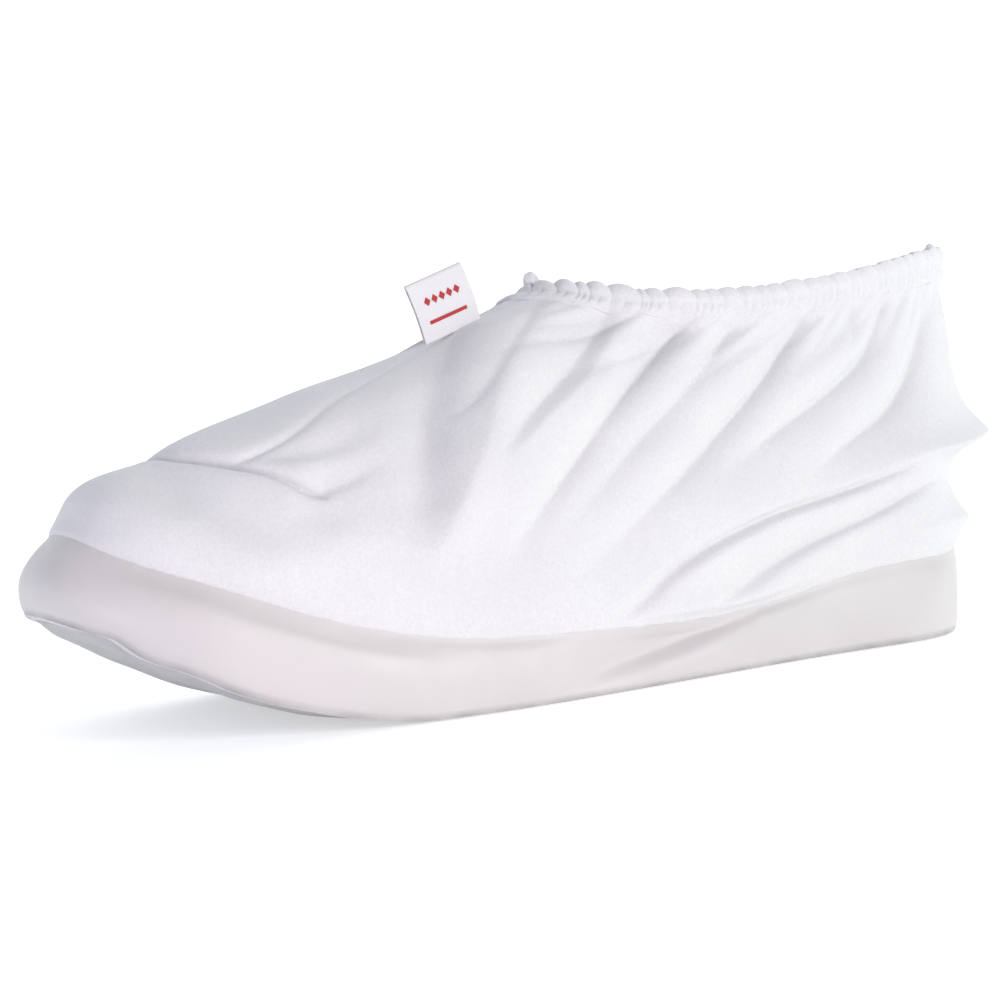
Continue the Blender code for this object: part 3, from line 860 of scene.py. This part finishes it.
def fill_ends(mesh, width):
    """Closes the first and last row of a grid mesh."""
    def fill(made):
        made.faces.new([made.verts[n] for n in reversed(range(width))])
        made.faces.new(made.verts[-width:])

    edit_mesh(mesh, fill)


def weld_ends(mesh):
    """Welds the pinched ends of the sole's mesh and closes what is left open there."""
    def weld(made):
        bmesh.ops.remove_doubles(made, verts=made.verts, dist=WELD_DISTANCE)
        loose = [e for e in made.edges if e.is_boundary]
        bmesh.ops.holes_fill(made, edges=loose, sides=0)
        bmesh.ops.recalc_face_normals(made, faces=made.faces)

    edit_mesh(mesh, weld)


def close_sides(mesh, rows, columns):
    """Closes a strip's two long sides, where its outer and inner rows face each other."""
    def close(made):
        for column in (0, columns - 1):
            for n in range(rows // 2 - 1):
                pairs = (n, n + 1, rows - 2 - n, rows - 1 - n)
                made.faces.new([made.verts[r * columns + column] for r in pairs])
        bmesh.ops.recalc_face_normals(made, faces=made.faces)

    edit_mesh(mesh, close)


def add_object(name, data):
    obj = bpy.data.objects.new(name, data)
    bpy.context.scene.collection.objects.link(obj)
    return obj


def add_piece(name, mesh, finish, replaced=None):
    """Puts a mesh in the scene as a piece of the cover."""
    obj = add_object(name, mesh)
    mesh.materials.append(finish)
    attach(obj, "root")
    if replaced:
        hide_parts(replaced)
    return obj


# Materials

def set_inputs(tree, node, **inputs):
    """Gives inputs of a node, by name, a value or a link from another node."""
    for name, value in inputs.items():
        socket = node.inputs[name.replace("_", " ")]
        if isinstance(value, bpy.types.NodeSocket):
            tree.links.new(value, socket)
        else:
            socket.default_value = value


def new_material(name, colour, roughness):
    """A plain material: itself, its node tree, its shader and its coordinates."""
    made = bpy.data.materials.new(name)
    made.use_nodes = True
    tree = made.node_tree
    shader = tree.nodes["Principled BSDF"]
    set_inputs(tree, shader, Base_Color=(*colour, 1), Roughness=roughness)
    return made, tree, shader, tree.nodes.new("ShaderNodeTexCoord").outputs


def add_node(tree, kind, **inputs):
    node = tree.nodes.new(kind)
    set_inputs(tree, node, **inputs)
    return node


def noise(tree, place, scale, detail):
    return add_node(tree, "ShaderNodeTexNoise", Vector=place, Scale=scale, Detail=detail).outputs["Fac"]


def wave(tree, place, period, direction):
    """Bands with a period in metres along one direction of the coordinates."""
    node = add_node(tree, "ShaderNodeTexWave", Vector=place, Scale=math.pi / 10 / period, Distortion=1.5,
                    Detail=1.0, Detail_Scale=2.0)
    node.bands_direction = direction
    return node.outputs["Fac"]


def mixed(tree, factor, low, high):
    """A colour between two, by a factor from 0 to 1."""
    node = tree.nodes.new("ShaderNodeMix")
    node.data_type = "RGBA"
    tree.links.new(factor, node.inputs["Factor"])
    for name, colour in (("A", low), ("B", high)):
        socket = next(s for s in node.inputs if s.name == name and s.type == "RGBA")
        if isinstance(colour, bpy.types.NodeSocket):
            tree.links.new(colour, socket)
        else:
            socket.default_value = (*colour, 1)
    return next(s for s in node.outputs if s.type == "RGBA")


def product(tree, first, second):
    node = add_node(tree, "ShaderNodeMath", Value=first)
    node.operation = "MULTIPLY"
    tree.links.new(second, node.inputs[1])
    return node.outputs[0]


def ranged(tree, value, low, high, start=0, end=1):
    """A value carried from low..high to start..end."""
    ends = {"From_Min": low, "From_Max": high, "To_Min": start, "To_Max": end}
    return add_node(tree, "ShaderNodeMapRange", Value=value, **ends).outputs["Result"]


def noisy(tree, place, row, start=0, end=1):
    """Noise from a row of the materials' noises, carried to start..end."""
    scale, detail, low, high = row
    return ranged(tree, noise(tree, place, scale, detail), low, high, start, end)


def bumped(tree, height, distance, strength, below=None):
    inputs = {"Height": height, "Distance": distance, "Strength": strength}
    if below:
        inputs["Normal"] = below
    return add_node(tree, "ShaderNodeBump", **inputs).outputs["Normal"]


def noise_bumps(tree, place, rows, normal=None):
    """Bumps of noise, one on top of another."""
    for scale, detail, depth, strength in rows:
        normal = bumped(tree, noise(tree, place, scale, detail), depth * MM, strength, normal)
    return normal


def cloth_material(name, light, shade):
    """Soft white knit with a short nap: fine columns and courses, fuzz and a faint uneven tone."""
    made, tree, shader, coords = new_material(name, light, 0.9)
    uv, place = coords["UV"], coords["Object"]
    colour = mixed(tree, noisy(tree, place, CLOTH_TONE), light, shade)
    grain = noisy(tree, place, CLOTH_GRAIN, 0, GRAIN_SHARE)
    colour = mixed(tree, grain, colour, tuple(GRAIN_SHADE * c for c in shade))
    knit = product(tree, wave(tree, uv, KNIT_PITCH[0], "X"), wave(tree, uv, KNIT_PITCH[1], "Y"))
    normal = noise_bumps(tree, place, CLOTH_BUMPS, bumped(tree, knit, *KNIT_BUMP))
    set_inputs(tree, shader, Base_Color=colour, Normal=normal, Sheen_Weight=0.25, Sheen_Roughness=0.5,
               Specular_IOR_Level=0.2)
    return made


def coated_material():
    """Smooth coated cloth with a satin face, faint wrinkles, and dirt with painted shade along the floor
    edge.
    """
    light, shade = COATED_COLOURS
    made, tree, shader, coords = new_material("coated_strip", light, 0.5)
    place = coords["Object"]
    colour = mixed(tree, noisy(tree, place, COATED_TONE), light, shade)
    height = add_node(tree, "ShaderNodeSeparateXYZ", Vector=coords["UV"]).outputs["Y"]
    # Painted shade with dirt: the strip darkens towards its floor edge, mottled by noise
    low = ranged(tree, height, *GRIME_AND_SHADE_HEIGHTS, GRIME_AND_SHADE_SHARE, 0)
    colour = mixed(tree, product(tree, low, noise(tree, place, *GRIME_AND_SHADE_NOISE)), colour, GRIME_AND_SHADE_COLOUR)
    gloss = noisy(tree, place, COATED_GLOSS, 0.42, 0.58)
    normal = noise_bumps(tree, place, COATED_BUMPS)
    set_inputs(tree, shader, Base_Color=colour, Roughness=gloss, Normal=normal, Coat_Weight=0.06,
               Coat_Roughness=0.35, Specular_IOR_Level=0.4)
    return made


def grip_material(name, light, dark, roughness):
    """Matt grip sheet with a fine pebble and scuffs where it rubs on the floor."""
    made, tree, shader, coords = new_material(name, light, roughness)
    place = coords["Object"]
    colour = mixed(tree, noisy(tree, place, GRIP_SCUFFS, 0, 0.7), light, dark)
    gloss = noisy(tree, place, GRIP_GLOSS, roughness - 0.1, roughness + 0.1)
    normal = noise_bumps(tree, place, GRIP_BUMPS)
    set_inputs(tree, shader, Base_Color=colour, Roughness=gloss, Normal=normal, Specular_IOR_Level=0.3)
    return made


def weave_material(name, light, shade, period):
    """Tight plain weave, as in tape and thread."""
    made, tree, shader, coords = new_material(name, light, 0.75)
    place = coords["Object"]
    weave = product(tree, wave(tree, place, period, "X"), wave(tree, place, period, "Z"))
    normal = noise_bumps(tree, place, WEAVE_BUMPS, bumped(tree, weave, *WEAVE_BUMP))
    set_inputs(tree, shader, Base_Color=mixed(tree, weave, shade, light), Normal=normal, Sheen_Weight=0.1)
    return made


def stage_material():
    """Pale floor with a faint uneven tone, lit a little from itself so that it stays near white."""
    made, tree, shader, coords = new_material("pale_floor", FLOOR_BASE, 0.9)
    colour = mixed(tree, noisy(tree, coords["Object"], FLOOR_TONE), *FLOOR_COLOURS)
    set_inputs(tree, shader, Base_Color=colour, Emission_Color=FLOOR_GLOW, Emission_Strength=0.34)
    return made


# Pieces

def upper_surface(angles, shares, folds):
    """The outside of the upper with its folds and ripples, and the normals of its smooth form.

    Its foot turns in and goes down behind the side strip, and its top goes up inside the casing.
    """
    grid = upper_grid(angles, shares)
    normals = grid_normals(grid)
    up = np.linalg.norm(np.diff(grid, axis=0, prepend=grid[:1]), axis=2).cumsum(axis=0)
    seam_hold = ease(up / SEAM_HOLD)
    collar_hold = COLLAR_HELD_SHARE + (1 - COLLAR_HELD_SHARE) * ease((up[-1] - up) / COLLAR_HOLD)
    push = soften(fold_push(grid, normals, folds)) * seam_hold * collar_hold
    for n, ripple in enumerate(UPPER_RIPPLES):
        push += ripples(grid, *ripple, RIPPLE_SEED + n) * seam_hold
    push += SEAM_SWELL * np.exp(-(((up - SEAM_HOLD) / SEAM_HOLD) ** 2))
    outside = grid + normals * push[..., None]
    outside[0] -= (0, 0, SEAM_LAP) + normals[0] * SEAM_TUCK
    outside[-1] += (0, 0, SEAM_LAP) - normals[-1] * SEAM_TUCK
    return outside, normals


def near_side_angles(steps):
    """Angles round the cover, closer together on the label's side."""
    turn = ring_angles(steps)
    return turn - NEAR_SIDE_SHARE * (1 - np.cos(turn))


def row_shares():
    """Shares of the upper's rows, closer together over the creases at the vamp and heel."""
    fine = np.linspace(0, 1, FINE_STEPS)
    crowding = 1 + CREASE_CROWDING * np.exp(-(((fine - CREASE_SHARE) / CREASE_SPAN) ** 2))
    count = np.cumsum(crowding) - crowding[0]
    shares = np.interp(np.linspace(0, count[-1], UPPER_ROWS - 2), count, fine)
    shares = np.concatenate([[0], shares, [1]])
    shares[1] = END_ROW_SHARE * shares[2]
    shares[-2] = 1 - END_ROW_SHARE * (1 - shares[-3])
    return shares


def lining_rows(outside, normals):
    """The inside of the upper in fewer rows, clear of the folds between them."""
    smooth = outside.copy()
    for _ in range(LINING_SMOOTHING):
        smooth[1:-1] = (smooth[:-2] + 2 * smooth[1:-1] + smooth[2:]) / 4
        smooth = blurred(smooth, axis=1)
    level = np.minimum(np.einsum("ijc,ijc->ij", outside - smooth, normals), 0)
    lowest = level.copy()
    for step in range(1, LINING_WINDOW + 1):
        lowest[step:] = np.minimum(lowest[step:], level[:-step])
        lowest[:-step] = np.minimum(lowest[:-step], level[step:])
    picked = np.linspace(0, len(outside) - 1, LINING_ROWS).round().astype(int)
    return (smooth + normals * (lowest - UPPER_WALL)[..., None])[picked]


def make_upper(folds):
    outside, normals = upper_surface(near_side_angles(UPPER_COLUMNS), row_shares(), folds)
    rows = np.concatenate([outside, lining_rows(outside, normals)[::-1]])
    mesh = grid_mesh("upper_shell", rows, wrap_rows=True)
    finish = cloth_material("brushed_knit", *UPPER_COLOURS)
    return add_piece("upper_shell", mesh, finish, "upper")


def gather_bulge(angles, places):
    """From 0 in the valley between two gathers to 1 on the crest of one."""
    edges = np.concatenate([[places[-1] - 2 * math.pi], places, [places[0] + 2 * math.pi]])
    cell = np.clip(np.searchsorted(edges, angles, side="right") - 1, 0, len(edges) - 2)
    phase = (angles - edges[cell]) / (edges[cell + 1] - edges[cell])
    size = (edges[cell + 1] - edges[cell]) / (2 * math.pi / GATHER_COUNT)
    return np.sin(math.pi * np.clip(phase, 0, 1)) ** GATHER_ROUNDNESS * np.clip(size, *GATHER_SIZES)


def casing_frame(angles, folds):
    """Foot of the collar casing, the upper's slope there, the way to the rim, its normals and the folds."""
    ring = ring_angles(CASING_COLUMNS)
    shares = np.linspace(0, 1, CASING_FRAME_ROWS)
    base = upper_grid(ring, shares)
    folded, ring_normals = upper_surface(ring, shares, folds)
    push = np.einsum("ic,ic->i", folded[-1] - base[-1], ring_normals[-1])
    top = collar_point(angles)
    nearest = np.linalg.norm(top[:, None] - base[-1], axis=2).argmin(axis=1)
    foot, push = base[-1, nearest], push[nearest]
    for _ in range(CASING_SMOOTHING):
        foot, push = blurred(foot, axis=0), blurred(push, axis=0)
    up = top - foot
    slope = (3 * base[-1] - 4 * base[-2] + base[-3])[nearest]
    slope *= (np.linalg.norm(up, axis=1) / np.linalg.norm(slope, axis=1))[:, None]
    return foot, slope, up, unit(np.cross(ring_way(foot + top), up)), push


def casing_line(foot, slope, up, share):
    """A line round the casing, which leaves the upper along its slope and bends to the collar's rim."""
    along = share * (1 + CASING_LAP) - CASING_LAP
    return foot + slope * along * (1 - along) + up * along**2


def casing_section(turn, bulge, pucker, push):
    """Share of the height, offset outwards and extra rise round the casing's section.

    A stitched line parts a puckered hem below, which follows the upper's folds, from the tube above.
    """
    share = 0.5 - 0.5 * np.sign(np.cos(turn)) * np.abs(np.cos(turn)) ** CASING_ROUNDNESS
    tube = np.sqrt(np.clip(1 - ((share - TUBE_MIDDLE) / TUBE_HALF) ** 2, 0, 1))
    if np.sin(turn) > 0:
        hem = ease(share / HEM_START) * ease((STITCH_SHARE + HEM_END[0] - share) / HEM_END[1])
        offset = CASING_SWELL * ease(share / CASING_SWELL_SPAN)
        offset = offset + tube * (TUBE_SWELL + TUBE_GATHER * (bulge - 0.5))
        offset += HEM_PUCKER * hem * (pucker - HEM_PUCKER_LEVEL)
        offset -= STITCH_DENT * np.exp(-(((share - STITCH_SHARE) / STITCH_DENT_SPAN) ** 2))
        offset -= FOOT_TUCK * ease((FOOT_TUCK_SPAN - share) / FOOT_TUCK_SPAN)
    else:
        offset = -CASING_INSIDE - tube * (TUBE_INSIDE + TUBE_INSIDE_GATHER * bulge)
    offset = offset * MM + push * ease((STITCH_SHARE - share) / STITCH_SHARE)
    rise = (bulge - 0.5) * ease((share - RIM_START) / RIM_SPAN) * RIM_RISE * MM
    return share, offset, rise


def make_casing(places, folds):
    angles = ring_angles(CASING_COLUMNS)
    foot, slope, up, normals, push = casing_frame(angles, folds)
    back = np.exp(-(((angles - math.pi) / BACK_SAG_SPAN) ** 2))
    far = np.clip((foot + up)[:, 1] / COLLAR_WIDTH * 2, 0, 1)
    between = places * PUCKER_SPLIT + np.roll(places, -1) * (1 - PUCKER_SPLIT)
    bulge = gather_bulge(angles, places)
    pucker = gather_bulge(angles, np.sort(np.concatenate([places, between])[:-1]))
    rows = []
    for turn in ring_angles(CASING_SECTION_STEPS):
        share, offset, rise = casing_section(turn, bulge, pucker, push)
        row = casing_line(foot, slope, up, share) + normals * offset[:, None]
        row[:, 2] += rise - (BACK_SAG * back + FAR_SAG * far) * ease(share)
        row[:, 0] -= BACK_SAG_LEAN * BACK_SAG * back * ease(share)
        rows.append(row)
    mesh = grid_mesh("casing_hem", np.array(rows), wrap_rows=True)
    finish = cloth_material("gathered_knit", *CASING_COLOURS)
    stitches = make_stitches(casing_line(foot, slope, up, STITCH_SHARE) + normals * STITCH_LIFT, normals)
    return add_piece("casing_hem", mesh, finish, "collar_casing"), stitches


def make_knot(name, angle, radius, sag, finish):
    """The bunched end of a seam in the casing's cloth: a small lobed knob."""
    seat = collar_point(np.array([angle]))[0] + (-KNOT_SAG_LEAN * sag, 0, KNOT_LIFT * radius - sag)
    turn = ring_angles(KNOT_STEPS)
    rows = []
    for polar in np.linspace(KNOT_POLE, math.pi - KNOT_POLE, KNOT_STEPS // 2):
        lobe = 1 + KNOT_LOBE * np.sin(KNOT_LOBES * turn + 2 * polar) * math.sin(polar)
        lobe += KNOT_RIB * np.sin(2 * KNOT_LOBES * turn)
        flat = lobe * math.sin(polar)
        level = np.full(KNOT_STEPS, -math.cos(polar))
        rows.append(np.stack([flat * np.cos(turn), flat * np.sin(turn), level], axis=-1))
    mesh = grid_mesh(name, np.array(rows) * KNOT_SHAPE * radius + seat, wrap_rows=False)
    fill_ends(mesh, KNOT_STEPS)
    return add_piece(name, mesh, finish)


def make_stitches(points, out):
    """A row of thread stitches laid along points on a closed line, each standing proud of the cloth."""
    along = lengths_along(points, closed=True)
    count = int(along[-1] / (STITCH_LENGTH * STITCH_PITCH))
    shape = capsule_points(STITCH_RINGS, STITCH_SIDES)
    ring, ring_out = np.vstack([points, points[:1]]), np.vstack([out, out[:1]])
    copies = []
    for n in range(count):
        ends = [(n + k) / count * along[-1] for k in (STITCH_START, STITCH_START + 1 / STITCH_PITCH)]
        a, b = (np.array([np.interp(e, along, ring[:, c]) for c in range(3)]) for e in ends)
        up = np.array([np.interp(sum(ends) / 2, along, ring_out[:, c]) for c in range(3)])
        way = unit(b - a)
        side = unit(np.cross(up, way))
        lift = np.cross(way, side)
        bow = (0.25 - shape[:, :1] ** 2) * STITCH_BOW
        section = shape[:, 1:2] * side + (shape[:, 2:] + bow) * lift
        copies.append((a + b) / 2 + shape[:, :1] * (b - a) + section * STITCH_RADIUS)
    thread = weave_material("white_thread", *THREAD_COLOURS, THREAD_PITCH)
    mesh = joined_mesh("casing_stitches", ring_faces(STITCH_RINGS, STITCH_SIDES), copies)
    return add_piece("casing_stitches", mesh, thread)


def make_band():
    angles = ring_angles(BAND_COLUMNS)
    shares = np.linspace(BAND_SECTION[0][0], 1, BAND_ROWS)
    insets = smooth_rows(shares, BAND_SECTION, 1) * MM
    grid = np.array([band_point(angles, share, inset) for share, inset in zip(shares, insets)])
    normals = grid_normals(grid)
    hold = (ease(shares / BAND_HOLD) * ease((1 - shares) / BAND_HOLD))[:, None]
    push = (fold_push(grid, normals, BAND_FOLDS) + ripples(grid, *BAND_RIPPLE, RIPPLE_SEED + 2)) * hold
    column = np.arange(BAND_COLUMNS)
    pucker = np.sin((column + 1) * 2 * math.pi / BAND_PUCKER_PITCH) + np.sin(column / BAND_PUCKER_DRIFT)
    edge = np.exp(-(((1 - shares) / BAND_PUCKER_SPAN) ** 2))[:, None]
    outside = grid + normals * (push + BAND_PUCKER * (pucker + BAND_PUCKER_LEVEL) * edge)[..., None]
    inside = grid + normals * (np.minimum(push, 0) - BAND_WALL)[..., None]
    sag = edge_sag(grid[..., 0], grid[..., 1]) * ease((BAND_SAG_SHARE - shares) / BAND_SAG_SHARE)[:, None]
    outside[..., 2] -= sag
    inside[..., 2] -= sag
    mesh = grid_mesh("side_strip", np.concatenate([outside, inside[::-1]]), wrap_rows=True)
    mesh.set_sharp_from_angle(angle=BAND_SHARP)
    return add_piece("side_strip", mesh, coated_material(), "sole_band")


def make_piping():
    x, y = outline(ring_angles(PIPING_COLUMNS), PIPING_INSET)
    middle = np.stack([x, y, sole_edge(station_of(x)) + PIPING_HEIGHT - edge_sag(x, y)], axis=-1)
    along = unit(ring_way(middle))
    out = unit(np.cross(along, (0, 0, 1)))
    up = np.cross(out, along)
    wave_at = np.arange(PIPING_COLUMNS) * 2 * math.pi / PIPING_DENT_PITCH
    radius = PIPING_RADIUS * (1 - PIPING_DENT * np.maximum(np.sin(wave_at), 0))[:, None]
    turns = ring_angles(PIPING_SIDES)
    rows = [middle + (out * math.cos(turn) + up * math.sin(turn)) * radius for turn in turns]
    mesh = grid_mesh("edge_piping", np.array(rows), wrap_rows=True)
    finish = weave_material("bound_edge", *PIPING_COLOURS, PIPING_PITCH)
    return add_piece("edge_piping", mesh, finish, "sole_piping")


def sole_level(station, across):
    """Height of the outsole's underside at a station and a place across it."""
    shares = (smooth_rows(np.array([across]), OUTSOLE_SECTION, column) for column in (1, 2))
    return underside(station, *shares)


def outsole_point(station, across):
    """A point of the outsole's underside, from plan station and place across it."""
    x, y = outline(np.arccos(np.clip(1 - 2 * station, -1, 1)), OUTSOLE_INSET)
    y = np.where((station <= 0) | (station >= 1), 0, y)
    return np.stack([x, -y * across, sole_level(station_of(x), across)], axis=-1)


def make_outsole():
    stations = angle_station(np.linspace(0, math.pi, OUTSOLE_STATIONS))
    across = np.sin(np.linspace(-0.5, 0.5, OUTSOLE_ACROSS) * math.pi)
    under = np.array([outsole_point(stations, k) for k in across]).transpose(1, 0, 2)
    sag = edge_sag(under[..., 0], under[..., 1])
    rim = np.where(sag > 0, sole_edge(station_of(under[..., 0])) - sag, under[..., 2])
    under[..., 2] = np.minimum(under[..., 2], rim)
    under[..., 2] -= fold_push(under, np.full(under.shape, (0.0, 0.0, -1.0)), SOLE_FOLDS)
    lift = TREAD_HEIGHT + ripples(under, *SOLE_RIPPLE, RIPPLE_SEED + 3)
    sheet = under.copy()
    sheet[..., 2] += np.clip(lift, SOLE_LEAST, SOLE_MOST)
    top = under + np.array([0, 0, OUTSOLE_THICKNESS])
    rows = np.concatenate([sheet, top[:, ::-1]], axis=1)
    mesh = grid_mesh("grip_sole", rows.transpose(1, 0, 2)[::-1], wrap_rows=True, wrap_columns=False)
    weld_ends(mesh)
    finish = grip_material("grip_sheet", *SOLE_COLOURS, 0.7)
    return add_piece("grip_sole", mesh, finish, "outsole")


def make_tread():
    """Rows of low round studs on the sole, clear of its edge."""
    turn = ring_angles(STUD_SIDES)
    shape = np.array([(r * math.cos(t), r * math.sin(t), -h) for r, h in STUD_PROFILE for t in turn])
    shape *= (TREAD_RADIUS, TREAD_RADIUS, TREAD_HEIGHT)
    faces = [face[::-1] for face in ring_faces(len(STUD_PROFILE), STUD_SIDES)]
    copies = []
    for row, x in enumerate(np.arange(TOE_X, TOE_X + SOLE_LENGTH, TREAD_PITCH * math.sqrt(3) / 2)):
        station = station_of(x)
        half = float(half_width(np.array(station))) - TREAD_EDGE
        if not TREAD_SPAN[0] <= station <= TREAD_SPAN[1] or half <= 0:
            continue
        count = int(half / TREAD_PITCH)
        for y in (np.arange(-count, count + 1) + 0.5 * (row % 2)) * TREAD_PITCH:
            if abs(y) <= half:
                copies.append(shape + stud_seat(x, y, half))
    finish = grip_material("tread_studs", *STUD_COLOURS, 0.6)
    return add_piece("tread_studs", joined_mesh("tread_studs", faces, copies), finish)


def stud_seat(x, y, half):
    share = min(abs(y) / (half + TREAD_EDGE - OUTSOLE_INSET), 1)
    return np.array([x, y, sole_level(station_of(x), share)[0] + TREAD_HEIGHT + TREAD_CLEARANCE])


def label_frame():
    """The vamp's line under the label, the label's place on it, and its directions along and up."""
    ridge = upper_grid(np.array([LABEL_ANGLE]), np.linspace(0, 1, RIDGE_STEPS))[:, 0]
    seat = np.argmin(np.abs(ridge[:, 0] - station_x(LABEL_STATION)))
    along = unit(np.gradient(ridge, axis=0)[seat, [0, 2]])
    return ridge, ridge[seat], along, np.array([-along[1], 0, along[0]])


def label_point(across, share, leaf):
    """A point of the label: place across it and up it, both 0 to 1, and distance in front of its middle."""
    ridge, seat, along, up = label_frame()
    x = seat[0] + (across - 0.5) * LABEL_WIDTH * along[0]
    z = np.interp(x, ridge[:, 0], ridge[:, 2])
    y = np.full_like(x, seat[1]) - LABEL_CURL * np.sin(math.pi * share) * (0.7 + 0.3 * across) - leaf
    return np.stack([x, y, z], axis=-1) + up * (2 * GAP + share * LABEL_HEIGHT)[..., None]


def make_label():
    """A woven tape folded at its top, with a thicker edge, so that two leaves stand close together."""
    k = np.linspace(0, 1, LABEL_ROWS)
    height = np.concatenate([k, k[::-1]])
    folded = height > LABEL_FOLD
    bend = np.sqrt(np.clip(1 - ((height - LABEL_FOLD) / LABEL_FOLD_SPAN) ** 2, 0, 1))
    leaf = np.where(folded, bend, 1) * LABEL_SPREAD
    leaf[LABEL_ROWS:] *= -1
    across = np.linspace(0, 1, LABEL_COLUMNS)
    near_side = np.minimum(across, 1 - across) * LABEL_WIDTH
    near_top = ((1 - height) * LABEL_HEIGHT)[:, None]
    border = np.where(np.minimum(near_side, near_top) < LABEL_BORDER, LABEL_BORDER_SHARE, 1.0)
    rows = []
    for side in (1, -1):
        offset = leaf[:, None] + side * np.sign(leaf)[:, None] * LABEL_LEAF / 2 * border
        grid = [label_point(across, np.full(LABEL_COLUMNS, h), offset[n]) for n, h in enumerate(height)]
        rows.append(np.array(grid))
    rows[0] += label_frame()[3] * (bend * folded * LABEL_LEAF)[:, None, None]
    sheet = np.concatenate([rows[0], rows[1][::-1]])
    mesh = grid_mesh("folded_label", sheet, wrap_rows=True, wrap_columns=False)
    close_sides(mesh, len(sheet), LABEL_COLUMNS)
    mesh.set_sharp_from_angle(angle=LABEL_SHARP)
    finish = weave_material("label_tape", *LABEL_COLOURS, LABEL_PITCH)
    return add_piece("folded_label", mesh, finish, "size_label")


def make_label_marks():
    """Plain woven ornament in red thread: a row of small diamonds over a stripe."""
    corners = np.array([(0, -1), (1, 0), (0, 1), (-1, 0)])
    rings = []
    for n in range(DIAMOND_COUNT):
        middle = ((n + 0.5) / DIAMOND_COUNT * MARK_WIDTH + MARK_LEFT, DIAMOND_SHARE)
        rings.append(middle + corners * DIAMOND_HALF)
    low, high = STRIPE_SHARES
    for n in range(STRIPE_STEPS):
        left, right = (MARK_LEFT + MARK_WIDTH * k / STRIPE_STEPS for k in (n, n + 1))
        rings.append(np.array([(left, low), (right, low), (right, high), (left, high)]))
    mesh = joined_mesh("label_marks", ring_faces(2, 4), [mark_solid(ring) for ring in rings])
    mesh.set_sharp_from_angle(angle=MARK_SHARP)
    finish = weave_material("red_thread", *MARK_COLOURS, MARK_PITCH)
    return add_piece("label_marks", mesh, finish)


def mark_solid(ring):
    """Four corners of a mark on the label's front, at its face and standing a little proud of it."""
    front = LABEL_SPREAD + LABEL_LEAF / 2
    layers = (front + MARK_CLEARANCE, front + MARK_THICKNESS)
    return np.concatenate([label_point(ring[:, 0], ring[:, 1], np.full(4, layer)) for layer in layers])


# Stage, light and camera

def camera_axes():
    """Right, up and forward of the camera."""
    turn = Matrix.Rotation(CAMERA_YAW, 3, "Z") @ Matrix.Rotation(-CAMERA_PITCH, 3, "X")
    turn = turn @ Matrix.Rotation(CAMERA_ROLL, 3, "Y").inverted()
    return turn @ Vector((1, 0, 0)), turn @ Vector((0, 0, 1)), turn @ Vector((0, 1, 0))


def add_camera():
    right, up, forward = camera_axes()
    data = bpy.data.cameras.new("camera")
    data.lens = CAMERA_LENS
    data.sensor_width = CAMERA_SENSOR
    data.clip_start = CAMERA_CLIP
    obj = add_object("camera", data)
    turn = Matrix((right, up, -forward)).transposed().to_4x4()
    obj.matrix_world = Matrix.Translation(CAMERA_AT) @ turn
    bpy.context.scene.camera = obj


def add_light(name, kind, way, power, colour):
    data = bpy.data.lights.new(name, kind)
    data.energy = power
    data.color = colour
    obj = add_object(name, data)
    obj.rotation_mode = "QUATERNION"
    obj.rotation_quaternion = way.to_track_quat("-Z", "Y")
    return obj


def add_lights():
    """A wide, soft key from the heel side of the camera and two low fills from the toe side."""
    key = add_light("key", "SUN", -KEY_FROM, KEY_STRENGTH * math.pi, KEY_COLOUR)
    key.data.angle = KEY_SPREAD
    for name, at, to, size, power, colour in LOW_FILLS:
        fill = add_light(name, "AREA", Vector(to) - Vector(at), power, colour)
        fill.location = at
        fill.data.shape = "RECTANGLE"
        fill.data.size, fill.data.size_y = size


def add_world():
    """Soft light from all round: brighter and cooler on the toe side of the camera, dim from above."""
    world = bpy.data.worlds.new("studio")
    world.use_nodes = True
    tree = world.node_tree
    place = tree.nodes.new("ShaderNodeTexCoord").outputs["Generated"]
    facing = add_node(tree, "ShaderNodeVectorMath", Vector=place)
    facing.operation = "DOT_PRODUCT"
    facing.inputs[1].default_value = camera_axes()[0]
    side = ranged(tree, facing.outputs["Value"], -1, 1)
    height = add_node(tree, "ShaderNodeSeparateXYZ", Vector=place).outputs["Z"]
    above = ranged(tree, height, 0, FILL_TOP_FROM)
    colour = mixed(tree, above, mixed(tree, side, FILL_TOE, FILL_HEEL), FILL_TOP)
    tree.links.new(colour, tree.nodes["Background"].inputs["Color"])
    bpy.context.scene.world = world
    bpy.context.scene.view_settings.view_transform = "Standard"


def add_stage():
    """A pale sweep: floor that bends up into a wall, square to the camera and well behind the cover."""
    turn = np.linspace(0, math.pi / 2, SWEEP_STEPS)
    bend = SWEEP_BACK + SWEEP_BEND * np.sin(turn)
    ahead = np.concatenate([[-SWEEP_FRONT], bend, [SWEEP_BACK + SWEEP_BEND]])
    height = np.concatenate([[0], SWEEP_BEND * (1 - np.cos(turn)), [SWEEP_SIZE]])
    way = np.array((-math.sin(CAMERA_YAW), math.cos(CAMERA_YAW), 0))
    side = np.array((way[1], -way[0], 0))
    middle = ahead[:, None] * way + height[:, None] * np.array((0, 0, 1))
    rows = np.stack([middle - side * SWEEP_SIZE, middle + side * SWEEP_SIZE], axis=1)
    mesh = grid_mesh("floor", rows, wrap_rows=False, wrap_columns=False)
    mesh.materials.append(stage_material())
    floor = add_object("floor", mesh)


def main():
    add_camera()
    add_lights()
    add_world()
    add_stage()
    places = gather_places()
    folds = list(UPPER_FOLDS) + gather_folds(places)
    upper = make_upper(folds)
    casing, stitches = make_casing(places, folds)
    front = make_knot("front_knot", 0.0, FRONT_KNOT, 0, casing.data.materials[0])
    back = make_knot("back_knot", math.pi, BACK_KNOT, BACK_SAG, casing.data.materials[0])
    band = make_band()
    make_piping()
    make_outsole()
    make_tread()
    label = make_label()
    marks = make_label_marks()


main()
